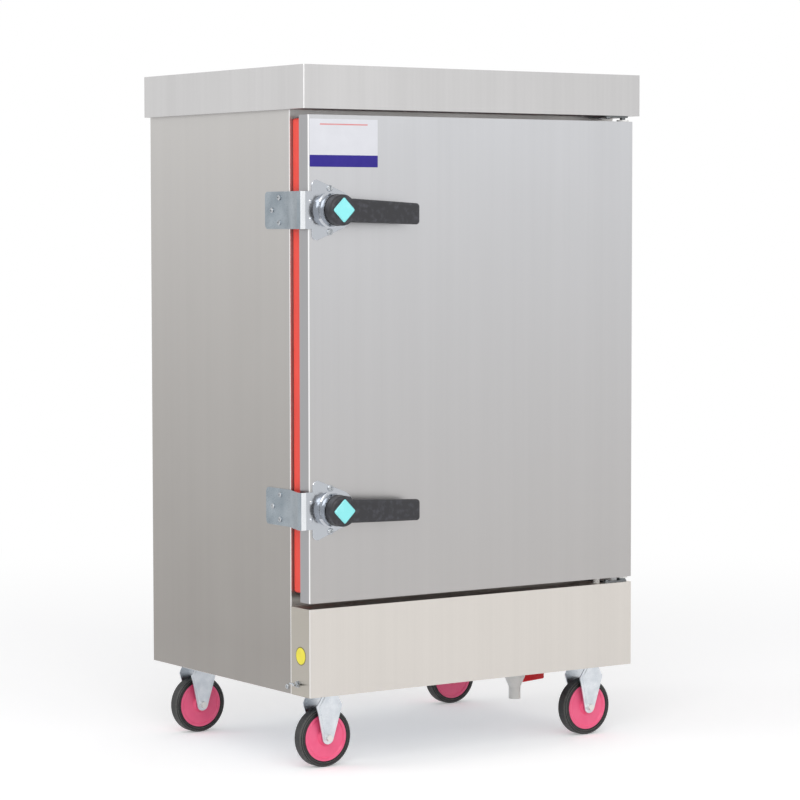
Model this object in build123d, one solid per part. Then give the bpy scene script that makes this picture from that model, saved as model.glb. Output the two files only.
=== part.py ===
"""Rice steamer cabinet on four fixed casters, in millimetres.

X runs to the right, Y to the back and Z up. The floor is Z = 0, and the origin
is the middle of the whole cabinet's outline on the floor. Depths are written as
distances behind the door's front face, and heights as distances above the floor.
"""
import os
from math import atan, cos, pi, radians, sin, tan

from build123d import *

# Cabinet body
BODY_WIDTH = 700.0
BODY_DEPTH = 481.0
SHEET = 1.2
SKIRT_HEIGHT = 132.0
SKIRT_DEPTH = 8.0
FRAME_RETURN = 22.0
BACK_FLANGE = 18.0

# Door, apron and top cover
DOOR_HEIGHT = 830.0
DOOR_THICKNESS = 29.0
DOOR_GAP = 10.0
GASKET_GAP = 30.0
APRON_HEIGHT = 152.0
APRON_LIP = 16.0
COVER_HEIGHT = 74.0
COVER_SIDE_OVERHANG = 12.0
COVER_FRONT_OVERHANG = 5.0
COVER_BACK_OVERHANG = 1.0

# Gasket and the raised panel inside it
GASKET_INSET = 5.0
GASKET_BOTTOM_INSET = 14.0
GASKET_WIDTH = 18.0
GASKET_ROUND = 5.0
GASKET_LIP = 4.0
GASKET_CLEARANCE = 0.5
DOOR_PANEL_RISE = 12.0
DOOR_PANEL_GAP = 4.0
DOOR_PANEL_SLOPE = 6.0

# Steam chamber
LINER_SHEET = 1.0
MOUTH_MARGIN = 16.0
MOUTH_SILL = 12.0
LINER_STEP = 6.0
BACK_INSULATION = 34.0

# Tray racks
RACK_LEVELS = 6
RACK_FLOOR_CLEARANCE = 36.0
RACK_TOP_CLEARANCE = 96.0
RACK_POST_WIDTH = 22.0
RACK_POST_THICKNESS = 2.0
RACK_POST_INSET = 55.0
RAIL_SHEET = 1.5
RAIL_LEDGE = 30.0
RAIL_LEG = 14.0
RAIL_END_GAP = 18.0

# Water tank, heating and steam plate
TANK_WIDTH = 470.0
TANK_DEPTH = 112.0
TANK_SHEET = 1.5
TANK_FRONT_GAP = 39.6
TANK_BACK_GAP = 44.0
ELEMENT_COUNT = 3
ELEMENT_RADIUS = 4.0
ELEMENT_BEND = 22.0
ELEMENT_PITCH = 120.0
ELEMENT_HEIGHT = 30.0
ELEMENT_END_GAP = 50.0
ELEMENT_FLANGE_RADIUS = 34.0
ELEMENT_FLANGE_THICKNESS = 5.0
ELEMENT_TAIL = 24.0
PLATE_THICKNESS = 1.5
PLATE_OVERLAP = 14.0
PLATE_HOLE_RADIUS = 7.0
PLATE_HOLE_ROWS = 4
PLATE_HOLE_COLUMNS = 6
FLOAT_SIDE_GAP = 35.0
FLOAT_RADIUS = 22.0
FLOAT_ARM_RADIUS = 2.5
FLOAT_ARM_LENGTH = 92.0
FLOAT_PIVOT_DROP = 34.0
FLOAT_DROOP = 25.0
FLOAT_PIN_RADIUS = 2.5
FLOAT_BODY_RADIUS = 9.0
FLOAT_BODY_TAIL = 6.0
FLOAT_EAR = 12.0

# Latches
LATCH_INSET = 46.0
UPPER_LATCH_DROP = 161.0
LOWER_LATCH_RISE = 159.0
BASE_THICKNESS = 1.6
BASE_CORNER_RADIUS = 10.0
BASE_HALF_HEIGHT = 51.0
BASE_LEFT_REACH = 40.0
BASE_NOSE_RADIUS = 33.0
BASE_NOSE_REACH = 45.0
BASE_SCREW_RADIUS = 2.6
BASE_SCREW_SPACING = 74.0
BASE_SCREW_SHIFT = 4.0
BASE_SCREW_HEAD = 5.5
COLLAR_FOOT_RADIUS = 31.0
COLLAR_WAIST_RADIUS = 26.0
COLLAR_RIM_RADIUS = 28.5
COLLAR_HEIGHT = 19.0
COLLAR_WALL = 1.5
HUB_RADIUS = 26.5
HUB_REACH = 40.0
HUB_ROUND = 5.0
LEVER_LENGTH = 160.0
LEVER_ROOT_HEIGHT = 41.0
LEVER_TIP_HEIGHT = 36.5
LEVER_DROOP = 6.5
LEVER_CORNER = 6.0
LEVER_THICKNESS = 17.0
LEVER_BOW = 5.0
LEVER_ROUND = 5.5
BADGE_SIDE = 31.0
BADGE_HEIGHT = 2.5
BADGE_BEVEL = 1.6
SPINDLE_RADIUS = 4.0
SPINDLE_SQUARE = 9.0
CAM_RADIUS = 21.5
CAM_THICKNESS = 4.0
CAM_GAP = 0.4
CAM_NEAR_RADIUS = 9.0
CAM_SLOT_STEPS = 6
BOLT_THICKNESS = 2.0
BOLT_GAP = 0.2
BOLT_TRAVEL = 8.0
BOLT_HEAD_WIDTH = 17.0
BOLT_HEAD_HEIGHT = 64.0
BOLT_SHANK_HEIGHT = 28.0
BOLT_PIN_RADIUS = 2.5
BOLT_RIVET_RADIUS = 3.6
BOLT_RIVET_SPACING = 30.0
BOLT_RIVET_INSET = 11.0
LEVER_SWING = 90.0
RUNNING_CLEARANCE = 0.05
LOOSE_CLEARANCE = 0.4

# Keepers on the body's left side
KEEPER_SHEET = 2.0
KEEPER_HEIGHT = 64.0
KEEPER_REACH_BACK = 77.0
KEEPER_STANDOFF = 17.8
KEEPER_FLARE = 54.0
KEEPER_LIP = 10.0
KEEPER_CORNER = 8.0
KEEPER_TO_BOLT = 0.5
KEEPER_SCREW_RADIUS = 4.6
KEEPER_SCREW_RISE = 2.4

# Door hinge
HINGE_INSET = 13.0
HINGE_PIN_RADIUS = 5.0
HINGE_PIN_LENGTH = 24.0
HINGE_PLATE_THICKNESS = 3.0
HINGE_PLATE_WIDTH = 52.0
HINGE_PLATE_EDGE = 9.0
HINGE_BUSH_RADIUS = 8.0
HINGE_FLANGE_RADIUS = 11.0
HINGE_FLANGE_THICKNESS = 3.0
HINGE_FLOAT = 0.3
PAD_RADIUS = 6.5
PAD_INSET = 66.0

# Casters
CASTER_INSET = 64.0
FRONT_CASTER_SETBACK = 60.0
REAR_CASTER_INSET = 52.0
WHEEL_RADIUS = 52.0
WHEEL_WIDTH = 24.0
HUB_DISC_RADIUS = 41.5
HUB_DISC_RECESS = 2.0
HUB_BOSS_RADIUS = 15.0
HUB_BOSS_WIDTH = 28.0
TYRE_KEY_DEPTH = 2.0
TYRE_GROOVE_WIDTH = 3.0
TYRE_GROOVE_DEPTH = 2.0
TYRE_CHAMFER = 2.2
TREAD_HALF_WIDTH = 8.5
TREAD_STEP = 0.8
AXLE_RADIUS = 4.0
AXLE_HEAD_RADIUS = 6.0
AXLE_TAIL = 2.0
AXLE_HEAD_HEIGHT = 5.0
FORK_SHEET = 2.5
FORK_INNER_WIDTH = 31.0
FORK_CROWN_WIDTH = 32.0
FORK_NECK_DROP = 11.0
FORK_CHEEK_WIDTH = 52.0
FORK_CHEEK_DROP = 28.0
FORK_TIP_RADIUS = 11.0
FORK_SHOULDER_ROUND = 6.0
FORK_SPLAY = 4.6
FORK_RIM = 5.0
FORK_RIB_HEIGHT = 1.0
MOUNT_PLATE_LENGTH = 92.0
MOUNT_PLATE_WIDTH = 64.0
MOUNT_PLATE_THICKNESS = 3.0
MOUNT_BOLT_X = 72.0
MOUNT_BOLT_Y = 44.0
MOUNT_BOLT_RADIUS = 3.5

# Base
BASE_PLATE_SHEET = 2.0
BASE_RAIL_WIDTH = 80.0
BASE_RAIL_HEIGHT = 28.0

# Drain, water inlet, vent and cable gland
DRAIN_SIDE_GAP = 65.0
DRAIN_FRONT_GAP = 17.0
DRAIN_PIPE_RADIUS = 8.5
VALVE_RADIUS = 19.0
VALVE_DROP = 12.0
VALVE_LENGTH = 37.0
SPOUT_RADIUS = 10.8
SPOUT_LENGTH = 22.0
PIPE_WALL = 2.0
VALVE_STEM_RADIUS = 4.0
VALVE_STEM_DROP = 18.5
VALVE_NECK = 3.0
VALVE_LEVER_LENGTH = 83.0
VALVE_LEVER_ROOT = 6.5
VALVE_LEVER_TIP = 4.0
VALVE_LEVER_DROOP = 2.0
VALVE_LEVER_THICKNESS = 3.0
STUB_REACH = 24.0
INLET_RADIUS = 10.0
VENT_RADIUS = 13.0
VENT_THROAT_RADIUS = 12.0
VENT_FLANGE_RADIUS = 21.0
VENT_FLANGE_THICKNESS = 2.0
VENT_SPIGOT = 18.0
VENT_DROP = 51.0
GLAND_RADIUS = 11.0
GLAND_INSET = 70.0
GLAND_RISE = 60.0
GLAND_BORE = 6.5
GLAND_TAIL = 8.0
GLAND_REACH = 16.0
GLAND_ROUND = 4.0
GLAND_NUT = 6.0
INLET_NUT = 7.0

# Fixings
PAN_HEAD_RADIUS = 4.6
PAN_HEAD_RISE = 2.2
SCREW_RADIUS = 2.0
SIDE_SCREW_SETBACK = 12.0
SIDE_SCREW_RISE = 12.0
EARTH_RISE = 20.0
EARTH_SETBACK = 38.0
EARTH_STUD_RADIUS = 3.0
EARTH_STUD_LENGTH = 20.0
EARTH_NUT_RADIUS = 5.2
EARTH_NUT_HEIGHT = 3.5
WING_SPAN = 30.0
WING_THICKNESS = 2.5
WING_RISE = 8.0
EARTH_WASHER_RADIUS = 6.0
EARTH_WASHER_THICKNESS = 0.8

# Planes that follow from the sizes above
FRONT_REACH = HUB_REACH + BADGE_HEIGHT
BACK_REACH = DOOR_THICKNESS + GASKET_GAP + BODY_DEPTH + STUB_REACH
DOOR_FACE = (FRONT_REACH - BACK_REACH) / 2
DOOR_BACK = DOOR_FACE + DOOR_THICKNESS
BODY_FRONT = DOOR_BACK + GASKET_GAP
BODY_BACK = BODY_FRONT + BODY_DEPTH
BODY_SIDE = BODY_WIDTH / 2
BASE_UNDERSIDE = SKIRT_HEIGHT + SKIRT_DEPTH
APRON_TOP = SKIRT_HEIGHT + APRON_HEIGHT
DOOR_BOTTOM = APRON_TOP + DOOR_GAP
DOOR_TOP = DOOR_BOTTOM + DOOR_HEIGHT
COVER_BOTTOM = DOOR_TOP + DOOR_GAP
COVER_TOP = COVER_BOTTOM + COVER_HEIGHT
BODY_TOP = COVER_TOP - SHEET

GASKET_SIDE = BODY_SIDE - GASKET_INSET
GASKET_BOTTOM = DOOR_BOTTOM + GASKET_BOTTOM_INSET
GASKET_TOP = DOOR_TOP - GASKET_INSET

MOUTH_SIDE = GASKET_SIDE - GASKET_WIDTH - MOUTH_MARGIN
MOUTH_BOTTOM = GASKET_BOTTOM + GASKET_WIDTH + MOUTH_SILL
MOUTH_TOP = GASKET_TOP - GASKET_WIDTH - MOUTH_MARGIN
LINER_SIDE = MOUTH_SIDE + LINER_STEP
LINER_FLOOR = MOUTH_BOTTOM - LINER_STEP
LINER_TOP = MOUTH_TOP + LINER_STEP
LINER_FRONT = BODY_FRONT + SHEET
LINER_BACK = BODY_BACK - SHEET - BACK_INSULATION

TANK_BACK = LINER_BACK - LINER_SHEET - TANK_BACK_GAP
TANK_FRONT = LINER_FRONT + TANK_FRONT_GAP
TANK_TOP = LINER_FLOOR
TANK_BOTTOM = TANK_TOP - TANK_DEPTH

FLOAT_X = -TANK_WIDTH / 2 + FLOAT_SIDE_GAP
FLOAT_Y = TANK_BACK - 3.6 * FLOAT_BODY_RADIUS
FLOAT_Z = TANK_TOP - FLOAT_PIVOT_DROP
DRAIN_Y = TANK_FRONT + DRAIN_FRONT_GAP
DRAIN_X = TANK_WIDTH / 2 - DRAIN_SIDE_GAP
VALVE_TOP = BASE_UNDERSIDE - VALVE_DROP
VALVE_BOTTOM = VALVE_TOP - VALVE_LENGTH
SPOUT_BOTTOM = VALVE_BOTTOM - SPOUT_LENGTH
VALVE_STEM_HEIGHT = VALVE_TOP - VALVE_STEM_DROP
GLAND_X = -BODY_SIDE + GLAND_INSET
GLAND_HEIGHT = BASE_UNDERSIDE + GLAND_RISE
VENT_HEIGHT = LINER_TOP - VENT_DROP
SIDE_SCREW_HEIGHT = SKIRT_HEIGHT + SIDE_SCREW_RISE
EARTH_HEIGHT = SKIRT_HEIGHT + EARTH_RISE

UPPER_LATCH_HEIGHT = DOOR_TOP - UPPER_LATCH_DROP
LOWER_LATCH_HEIGHT = DOOR_BOTTOM + LOWER_LATCH_RISE
LATCH_X = -BODY_SIDE + LATCH_INSET
HINGE_X = BODY_SIDE - HINGE_INSET
HINGE_Y = DOOR_FACE + DOOR_THICKNESS / 2
BOLT_FRONT = DOOR_FACE - BASE_THICKNESS - BOLT_GAP - BOLT_THICKNESS
BOLT_TIP_X = -BODY_SIDE - KEEPER_STANDOFF - KEEPER_SHEET + KEEPER_LIP + KEEPER_TO_BOLT
CAM_BACK = BOLT_FRONT - CAM_GAP
CAM_FRONT = CAM_BACK - CAM_THICKNESS
CAM_FAR_RADIUS = CAM_NEAR_RADIUS + BOLT_TRAVEL


def block(x_range, y_range, z_range):
    """A rectangular block between two corners."""
    size = [b - a for a, b in (x_range, y_range, z_range)]
    centre = [(a + b) / 2 for a, b in (x_range, y_range, z_range)]
    return Pos(*centre) * Box(*size)


def ordered(a, b):
    """Two coordinates as a range, the lower one first."""
    return (min(a, b), max(a, b))


def rod_x(radius, x_range, y, z):
    """A round bar along X."""
    length = x_range[1] - x_range[0]
    return Pos(sum(x_range) / 2, y, z) * Rot(0, 90, 0) * Cylinder(radius, length)


def rod_y(radius, x, y_range, z):
    """A round bar along Y."""
    length = y_range[1] - y_range[0]
    return Pos(x, sum(y_range) / 2, z) * Rot(90, 0, 0) * Cylinder(radius, length)


def rod_z(radius, x, y, z_range):
    """A round bar along Z."""
    length = z_range[1] - z_range[0]
    return Pos(x, y, sum(z_range) / 2) * Cylinder(radius, length)


def folded(points, thickness, side=Side.LEFT):
    """The section of a sheet bent along a path of points, its bends rounded outside."""
    return make_face(offset(Polyline(*points), thickness, side=side, closed=True).edges())


def in_front_plane(shape, x, y, z):
    """Move a shape drawn in the XY plane to stand in the XZ plane, its normal to the front."""
    return Pos(x, y, z) * Rot(90, 0, 0) * shape


def turned(points, x, y, z, towards_front=True):
    """A ring or disc turned about Y from (radius, distance) points of a closed outline."""
    outline = make_face(Polyline(*points, close=True).edges())
    solid = revolve(outline, Axis.Y)
    flip = Rot(0, 0, 180) if towards_front else Rot(0, 0, 0)
    return Pos(x, y, z) * flip * solid


def pan_screw(radius, rise, shank, length):
    """A pan head screw along Z, its head above zero and its shank below."""
    head = Cylinder(radius, rise, align=(Align.CENTER, Align.CENTER, Align.MIN))
    head = chamfer(head.edges().sort_by(Axis.Z)[-1], rise * 0.5)
    body = Cylinder(shank, length, align=(Align.CENTER, Align.CENTER, Align.MAX))
    slot = Pos(0, 0, rise) * (Box(radius, radius * 0.28, rise) + Box(radius * 0.28, radius, rise))
    return head + body - slot


def make_side_panel(side):
    """A side sheet with a flange at the back and a hem at its lower edge."""
    face_x = side * BODY_SIDE
    path = [(face_x, BODY_FRONT), (face_x, BODY_BACK), (face_x - side * BACK_FLANGE, BODY_BACK)]
    section = folded(path, SHEET, Side.LEFT if side > 0 else Side.RIGHT)
    panel = Pos(0, 0, SKIRT_HEIGHT) * extrude(section, BODY_TOP - SKIRT_HEIGHT)
    return panel - side_screw_hole(side)


def side_screw_hole(side):
    """The hole for the low screw on one side, through the side sheet and the frame's return."""
    reach = ordered(side * (BODY_SIDE + 1), side * (BODY_SIDE - 3 * SHEET))
    return rod_x(SCREW_RADIUS, reach, BODY_FRONT + SIDE_SCREW_SETBACK, SIDE_SCREW_HEIGHT)


def make_back_panel():
    """The back sheet inside the side sheets' flanges, with holes for the pipes and the cable."""
    inside = BODY_SIDE - SHEET
    sheet = block((-inside, inside), (BODY_BACK - 2 * SHEET, BODY_BACK - SHEET), (BASE_UNDERSIDE, BODY_TOP))
    for x, z, radius in back_openings():
        sheet -= rod_y(radius, x, (BODY_BACK - 3 * SHEET, BODY_BACK), z)
    return sheet


def back_openings():
    """Where the pipes and the cable leave through the back, each with its hole radius."""
    return [
        (FLOAT_X, FLOAT_Z, INLET_RADIUS),
        (0.0, VENT_HEIGHT, VENT_THROAT_RADIUS),
        (GLAND_X, GLAND_HEIGHT, GLAND_RADIUS),
    ]


def make_front_frame():
    """The frame round the mouth: two upright stiles with returns, and three flat rails between them."""
    rails = [
        (BASE_UNDERSIDE, BASE_UNDERSIDE + BASE_RAIL_HEIGHT),
        (APRON_TOP - APRON_LIP, MOUTH_BOTTOM),
        (MOUTH_TOP, BODY_TOP),
    ]
    pieces = [frame_stile(-1), frame_stile(1)]
    for heights in rails:
        pieces.append(block((-MOUTH_SIDE, MOUTH_SIDE), (BODY_FRONT, BODY_FRONT + SHEET), heights))
    return grouped(pieces)


def frame_stile(side):
    """One upright of the front frame, folded back against the side sheet."""
    edge = side * (BODY_SIDE - SHEET)
    path = [(side * MOUTH_SIDE, BODY_FRONT), (edge, BODY_FRONT), (edge, BODY_FRONT + FRAME_RETURN)]
    section = folded(path, SHEET, Side.LEFT if side > 0 else Side.RIGHT)
    stile = Pos(0, 0, BASE_UNDERSIDE) * extrude(section, BODY_TOP - BASE_UNDERSIDE)
    return stile - side_screw_hole(side)


def make_inner_liner():
    """The steam chamber: welded walls face to face, open at the front and over the tank."""
    inside = LINER_SIDE - LINER_SHEET
    across = (-inside, inside)
    depth = (LINER_FRONT, LINER_BACK)
    walls = []
    for side in (-1, 1):
        walls.append(block(ordered(side * LINER_SIDE, side * inside), depth, (LINER_FLOOR, LINER_TOP)))
    walls.append(block(across, depth, (LINER_TOP - LINER_SHEET, LINER_TOP)))
    rise = (LINER_FLOOR + LINER_SHEET, LINER_TOP - LINER_SHEET)
    back = block(across, (LINER_BACK - LINER_SHEET, LINER_BACK), rise)
    vent = rod_y(VENT_THROAT_RADIUS, 0, (LINER_BACK - 2 * LINER_SHEET, LINER_BACK + 1), VENT_HEIGHT)
    walls.append(back - vent)
    return grouped(walls + liner_floor(inside))


def liner_floor(inside):
    """The chamber's floor as four strips round the opening over the tank."""
    well_side = TANK_WIDTH / 2 - TANK_SHEET
    well_front = TANK_FRONT + TANK_SHEET
    well_back = TANK_BACK - TANK_SHEET
    sheet = (LINER_FLOOR, LINER_FLOOR + LINER_SHEET)
    across = (-inside, inside)
    strips = [
        block(across, (LINER_FRONT, well_front), sheet),
        block(across, (well_back, LINER_BACK), sheet),
    ]
    for side in (-1, 1):
        strips.append(block(ordered(side * well_side, side * inside), (well_front, well_back), sheet))
    return strips


def make_body_insulation():
    """The mineral wool round the chamber's sides, back and top."""
    inside = BODY_SIDE - SHEET
    wool_side = inside - SHEET
    outer = block((-wool_side, wool_side), (LINER_FRONT, BODY_BACK - 2 * SHEET), (LINER_FLOOR, BODY_TOP))
    chamber = block((-LINER_SIDE, LINER_SIDE), (LINER_FRONT - 1, LINER_BACK), (LINER_FLOOR - 1, LINER_TOP))
    vent = rod_y(VENT_THROAT_RADIUS, 0, (LINER_BACK - 1, BODY_BACK), VENT_HEIGHT)
    return outer - chamber - vent


def make_top_cover():
    """The deep top cover: a folded tray, closed below where it reaches past the body."""
    side = BODY_SIDE + COVER_SIDE_OVERHANG
    front = DOOR_FACE - COVER_FRONT_OVERHANG
    back = BODY_BACK + COVER_BACK_OVERHANG
    tray = block((-side, side), (front, back), (COVER_BOTTOM, COVER_TOP))
    upright = tray.edges().filter_by(Axis.Z)
    tray = fillet(upright, 2 * SHEET)
    hollow = block(
        (-side + SHEET, side - SHEET),
        (front + SHEET, back - COVER_BACK_OVERHANG),
        (COVER_BOTTOM + SHEET, COVER_TOP - SHEET),
    )
    body = block((-BODY_SIDE, BODY_SIDE), (BODY_FRONT, BODY_BACK), (COVER_BOTTOM - 1, COVER_TOP - SHEET))
    return tray - hollow - body


def make_front_apron():
    """The tray-shaped apron below the door, with side returns and lips above and below."""
    outer = block((-BODY_SIDE, BODY_SIDE), (DOOR_FACE, BODY_FRONT), (SKIRT_HEIGHT, APRON_TOP))
    front_edges = outer.edges().filter_by(Axis.Z).group_by(Axis.Y)[0]
    outer = fillet(front_edges, 2 * SHEET)
    inner = block(
        (-BODY_SIDE + SHEET, BODY_SIDE - SHEET),
        (DOOR_FACE + SHEET, BODY_FRONT + 1),
        (SKIRT_HEIGHT + SHEET, APRON_TOP - SHEET),
    )
    below = block(
        (-BODY_SIDE + APRON_LIP, BODY_SIDE - APRON_LIP),
        (DOOR_FACE + APRON_LIP, BODY_FRONT + 1),
        (SKIRT_HEIGHT - 1, SKIRT_HEIGHT + SHEET + 1),
    )
    hole = rod_x(
        EARTH_STUD_RADIUS,
        (-BODY_SIDE - 1, -BODY_SIDE + 2 * SHEET),
        DOOR_FACE + EARTH_SETBACK,
        EARTH_HEIGHT,
    )
    return outer - inner - below - hole


def make_door_outer_skin():
    """The door's outer sheet, folded back on all four edges."""
    outer = block((-BODY_SIDE, BODY_SIDE), (DOOR_FACE, DOOR_BACK), (DOOR_BOTTOM, DOOR_TOP))
    corners = outer.edges().filter_by(Axis.Z).group_by(Axis.Y)[0]
    outer = fillet(corners, 2 * SHEET)
    inner = block(
        (-BODY_SIDE + SHEET, BODY_SIDE - SHEET),
        (DOOR_FACE + SHEET, DOOR_BACK + 1),
        (DOOR_BOTTOM + SHEET, DOOR_TOP - SHEET),
    )
    skin = outer - inner
    for z in (DOOR_BOTTOM, DOOR_TOP):
        skin -= rod_z(HINGE_BUSH_RADIUS, HINGE_X, HINGE_Y, (z - 2 * SHEET, z + 2 * SHEET))
    return skin


def make_door_inner_skin():
    """The door's inner sheet, with a raised panel inside the gasket."""
    side = BODY_SIDE - SHEET
    sheet = block((-side, side), (DOOR_BACK - SHEET, DOOR_BACK), (DOOR_BOTTOM + SHEET, DOOR_TOP - SHEET))
    panel = raised_panel(DOOR_PANEL_RISE, 0.0)
    hollow = Pos(0, -SHEET, 0) * raised_panel(DOOR_PANEL_RISE, SHEET)
    return sheet + panel - hollow


def raised_panel(rise, inset):
    """A block with sloping sides that stands on the door's back inside the gasket."""
    side = GASKET_SIDE - GASKET_WIDTH - DOOR_PANEL_GAP - inset
    low = GASKET_BOTTOM + GASKET_WIDTH + DOOR_PANEL_GAP + inset
    high = GASKET_TOP - GASKET_WIDTH - DOOR_PANEL_GAP - inset
    middle = (low + high) / 2
    foot = Plane((0, DOOR_BACK - SHEET / 2, middle), x_dir=(1, 0, 0), z_dir=(0, 1, 0))
    crest = Plane((0, DOOR_BACK + rise, middle), x_dir=(1, 0, 0), z_dir=(0, 1, 0))
    slope = DOOR_PANEL_SLOPE
    wide = foot * Rectangle(2 * side, high - low)
    narrow = crest * Rectangle(2 * (side - slope), high - low - 2 * slope)
    return loft([wide, narrow])


def make_door_insulation():
    """The wool slab between the door's skins, clear of the hinge bushes."""
    side = BODY_SIDE - SHEET
    slab = block(
        (-side, side),
        (DOOR_FACE + SHEET, DOOR_BACK - SHEET),
        (DOOR_BOTTOM + SHEET, DOOR_TOP - SHEET),
    )
    for z in (DOOR_BOTTOM, DOOR_TOP):
        reach = HINGE_PIN_LENGTH + HINGE_FLANGE_THICKNESS
        slab -= rod_z(HINGE_BUSH_RADIUS, HINGE_X, HINGE_Y, (z - reach, z + reach))
    return slab


def make_door_gasket():
    """The soft silicone frame on the door's back, rounded where it meets the body."""
    back = BODY_FRONT - GASKET_CLEARANCE
    outer = block((-GASKET_SIDE, GASKET_SIDE), (DOOR_BACK, back), (GASKET_BOTTOM, GASKET_TOP))
    outer = fillet(outer.edges().filter_by(Axis.Y), GASKET_ROUND)
    outer = fillet(outer.faces().sort_by(Axis.Y)[-1].edges(), GASKET_LIP)
    inner_side = GASKET_SIDE - GASKET_WIDTH
    inner = block(
        (-inner_side, inner_side),
        (DOOR_BACK - 1, back + 1),
        (GASKET_BOTTOM + GASKET_WIDTH, GASKET_TOP - GASKET_WIDTH),
    )
    return outer - inner


def make_hinge_plate(top):
    """A flat hinge plate with its welded pin, which carries the door on a shoulder below."""
    root = COVER_BOTTOM if top else APRON_TOP
    inward = -1 if top else 1
    near = root + inward * HINGE_PLATE_THICKNESS
    tip = (DOOR_TOP if top else DOOR_BOTTOM) + inward * HINGE_PIN_LENGTH
    right = HINGE_X + HINGE_PLATE_EDGE
    plate = block(
        (right - HINGE_PLATE_WIDTH, right),
        (HINGE_Y - HINGE_PLATE_EDGE, BODY_FRONT),
        ordered(root, near),
    )
    plate = fillet(plate.edges().filter_by(Axis.Z).group_by(Axis.Y)[0], HINGE_PLATE_EDGE * 0.8)
    plate += rod_z(HINGE_PIN_RADIUS, HINGE_X, HINGE_Y, ordered(root, tip))
    if not top:
        shoulder = DOOR_BOTTOM - HINGE_FLANGE_THICKNESS - HINGE_FLOAT
        plate += rod_z(HINGE_BUSH_RADIUS, HINGE_X, HINGE_Y, (near, shoulder))
    for x, y in hinge_screw_places():
        plate -= rod_z(SCREW_RADIUS, x, y, ordered(root - inward, near + inward))
    return plate


def hinge_screw_places():
    """The two screws through each hinge plate."""
    x = HINGE_X + HINGE_PLATE_EDGE - HINGE_PLATE_WIDTH + HINGE_PLATE_EDGE
    return [(x, HINGE_Y), (x + HINGE_PLATE_EDGE, BODY_FRONT - HINGE_PLATE_EDGE)]


def make_hinge_screws():
    """Four screws that hold the hinge plates to the apron and the top cover."""
    screw = pan_screw(PAN_HEAD_RADIUS, PAN_HEAD_RISE, SCREW_RADIUS, HINGE_PLATE_THICKNESS)
    group = []
    for x, y in hinge_screw_places():
        group.append(Pos(x, y, APRON_TOP + HINGE_PLATE_THICKNESS) * screw)
        group.append(Pos(x, y, COVER_BOTTOM - HINGE_PLATE_THICKNESS) * Rot(180, 0, 0) * screw)
    return grouped(group)


def make_hinge_bush(top):
    """A flanged nylon bush in the door's edge, running on the hinge pin."""
    edge = DOOR_TOP if top else DOOR_BOTTOM
    inward = -1 if top else 1
    flange_end = edge - inward * HINGE_FLANGE_THICKNESS
    flange = rod_z(HINGE_FLANGE_RADIUS, HINGE_X, HINGE_Y, ordered(flange_end, edge))
    depth = HINGE_PIN_LENGTH + HINGE_FLANGE_THICKNESS
    sleeve = rod_z(HINGE_BUSH_RADIUS, HINGE_X, HINGE_Y, ordered(edge, edge + inward * depth))
    bore_end = edge + inward * (HINGE_PIN_LENGTH + HINGE_FLANGE_THICKNESS / 2)
    bore = rod_z(
        HINGE_PIN_RADIUS + RUNNING_CLEARANCE,
        HINGE_X,
        HINGE_Y,
        ordered(edge - inward * 2 * HINGE_FLANGE_THICKNESS, bore_end),
    )
    return flange + sleeve - bore


def make_door_rest_pad():
    """The nylon pad on the apron that the closed door's lower edge rides on."""
    x = BODY_SIDE - PAD_INSET
    pad = rod_z(PAD_RADIUS, x, HINGE_Y + PAD_RADIUS, (APRON_TOP, DOOR_BOTTOM - HINGE_FLOAT))
    return chamfer(pad.edges().sort_by(Axis.Z)[-1], 1.0)


def latch_outline():
    """The base plate's rounded triangle, seen from the front."""
    corner_x = -BASE_LEFT_REACH + BASE_CORNER_RADIUS
    corner_z = BASE_HALF_HEIGHT - BASE_CORNER_RADIUS
    nose = Pos(BASE_NOSE_REACH - BASE_NOSE_RADIUS, 0) * Circle(BASE_NOSE_RADIUS)
    corners = [Pos(corner_x, z) * Circle(BASE_CORNER_RADIUS) for z in (-corner_z, corner_z)]
    edges = nose.edges() + corners[0].edges() + corners[1].edges()
    return make_hull(edges)


def collar_profile():
    """The collar's wall: a flared foot, a waist and a turned-out rim, as (radius, distance) points."""
    foot, waist, rim = COLLAR_FOOT_RADIUS, COLLAR_WAIST_RADIUS, COLLAR_RIM_RADIUS
    top = BASE_THICKNESS + COLLAR_HEIGHT
    middle = BASE_THICKNESS + COLLAR_HEIGHT * 0.45
    outside = Spline((foot, BASE_THICKNESS), (waist, middle), (rim, top), tangents=((-1, 0.35), (0.5, 1)))
    inside = Spline(
        (foot - 2 * COLLAR_WALL, BASE_THICKNESS),
        (waist - COLLAR_WALL, middle),
        (rim - COLLAR_WALL, top),
        tangents=((-0.6, 0.8), (0.5, 1)),
    )
    lip = Line(outside @ 1, inside @ 1)
    floor = Line(outside @ 0, inside @ 0)
    return make_face([outside, lip, inside, floor])


def make_latch_base(height):
    """The chromed base plate with its spun collar, slotted for the bolt."""
    plate = extrude(latch_outline(), BASE_THICKNESS)
    plate = chamfer(plate.faces().sort_by(Axis.Z)[-1].edges(), BASE_THICKNESS * 0.4)
    plate = in_front_plane(plate, 0, 0, 0)
    collar = Rot(0, 0, 180) * revolve(collar_profile(), Axis.Y)
    base = plate + collar
    slot_half = BOLT_SHANK_HEIGHT / 2 + LOOSE_CLEARANCE
    slot_front = BASE_THICKNESS + BOLT_THICKNESS + 2 * BOLT_GAP
    base -= block((-COLLAR_FOOT_RADIUS - 1, 0), (-slot_front, -BASE_THICKNESS), (-slot_half, slot_half))
    base -= rod_y(SPINDLE_RADIUS + RUNNING_CLEARANCE, 0, (-slot_front, 1), 0)
    for z in (-BASE_SCREW_SPACING / 2, BASE_SCREW_SPACING / 2):
        base -= rod_y(BASE_SCREW_RADIUS, -BASE_SCREW_SHIFT, (-2 * BASE_THICKNESS, 1), z)
    return Pos(LATCH_X, DOOR_FACE, height) * base


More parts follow.
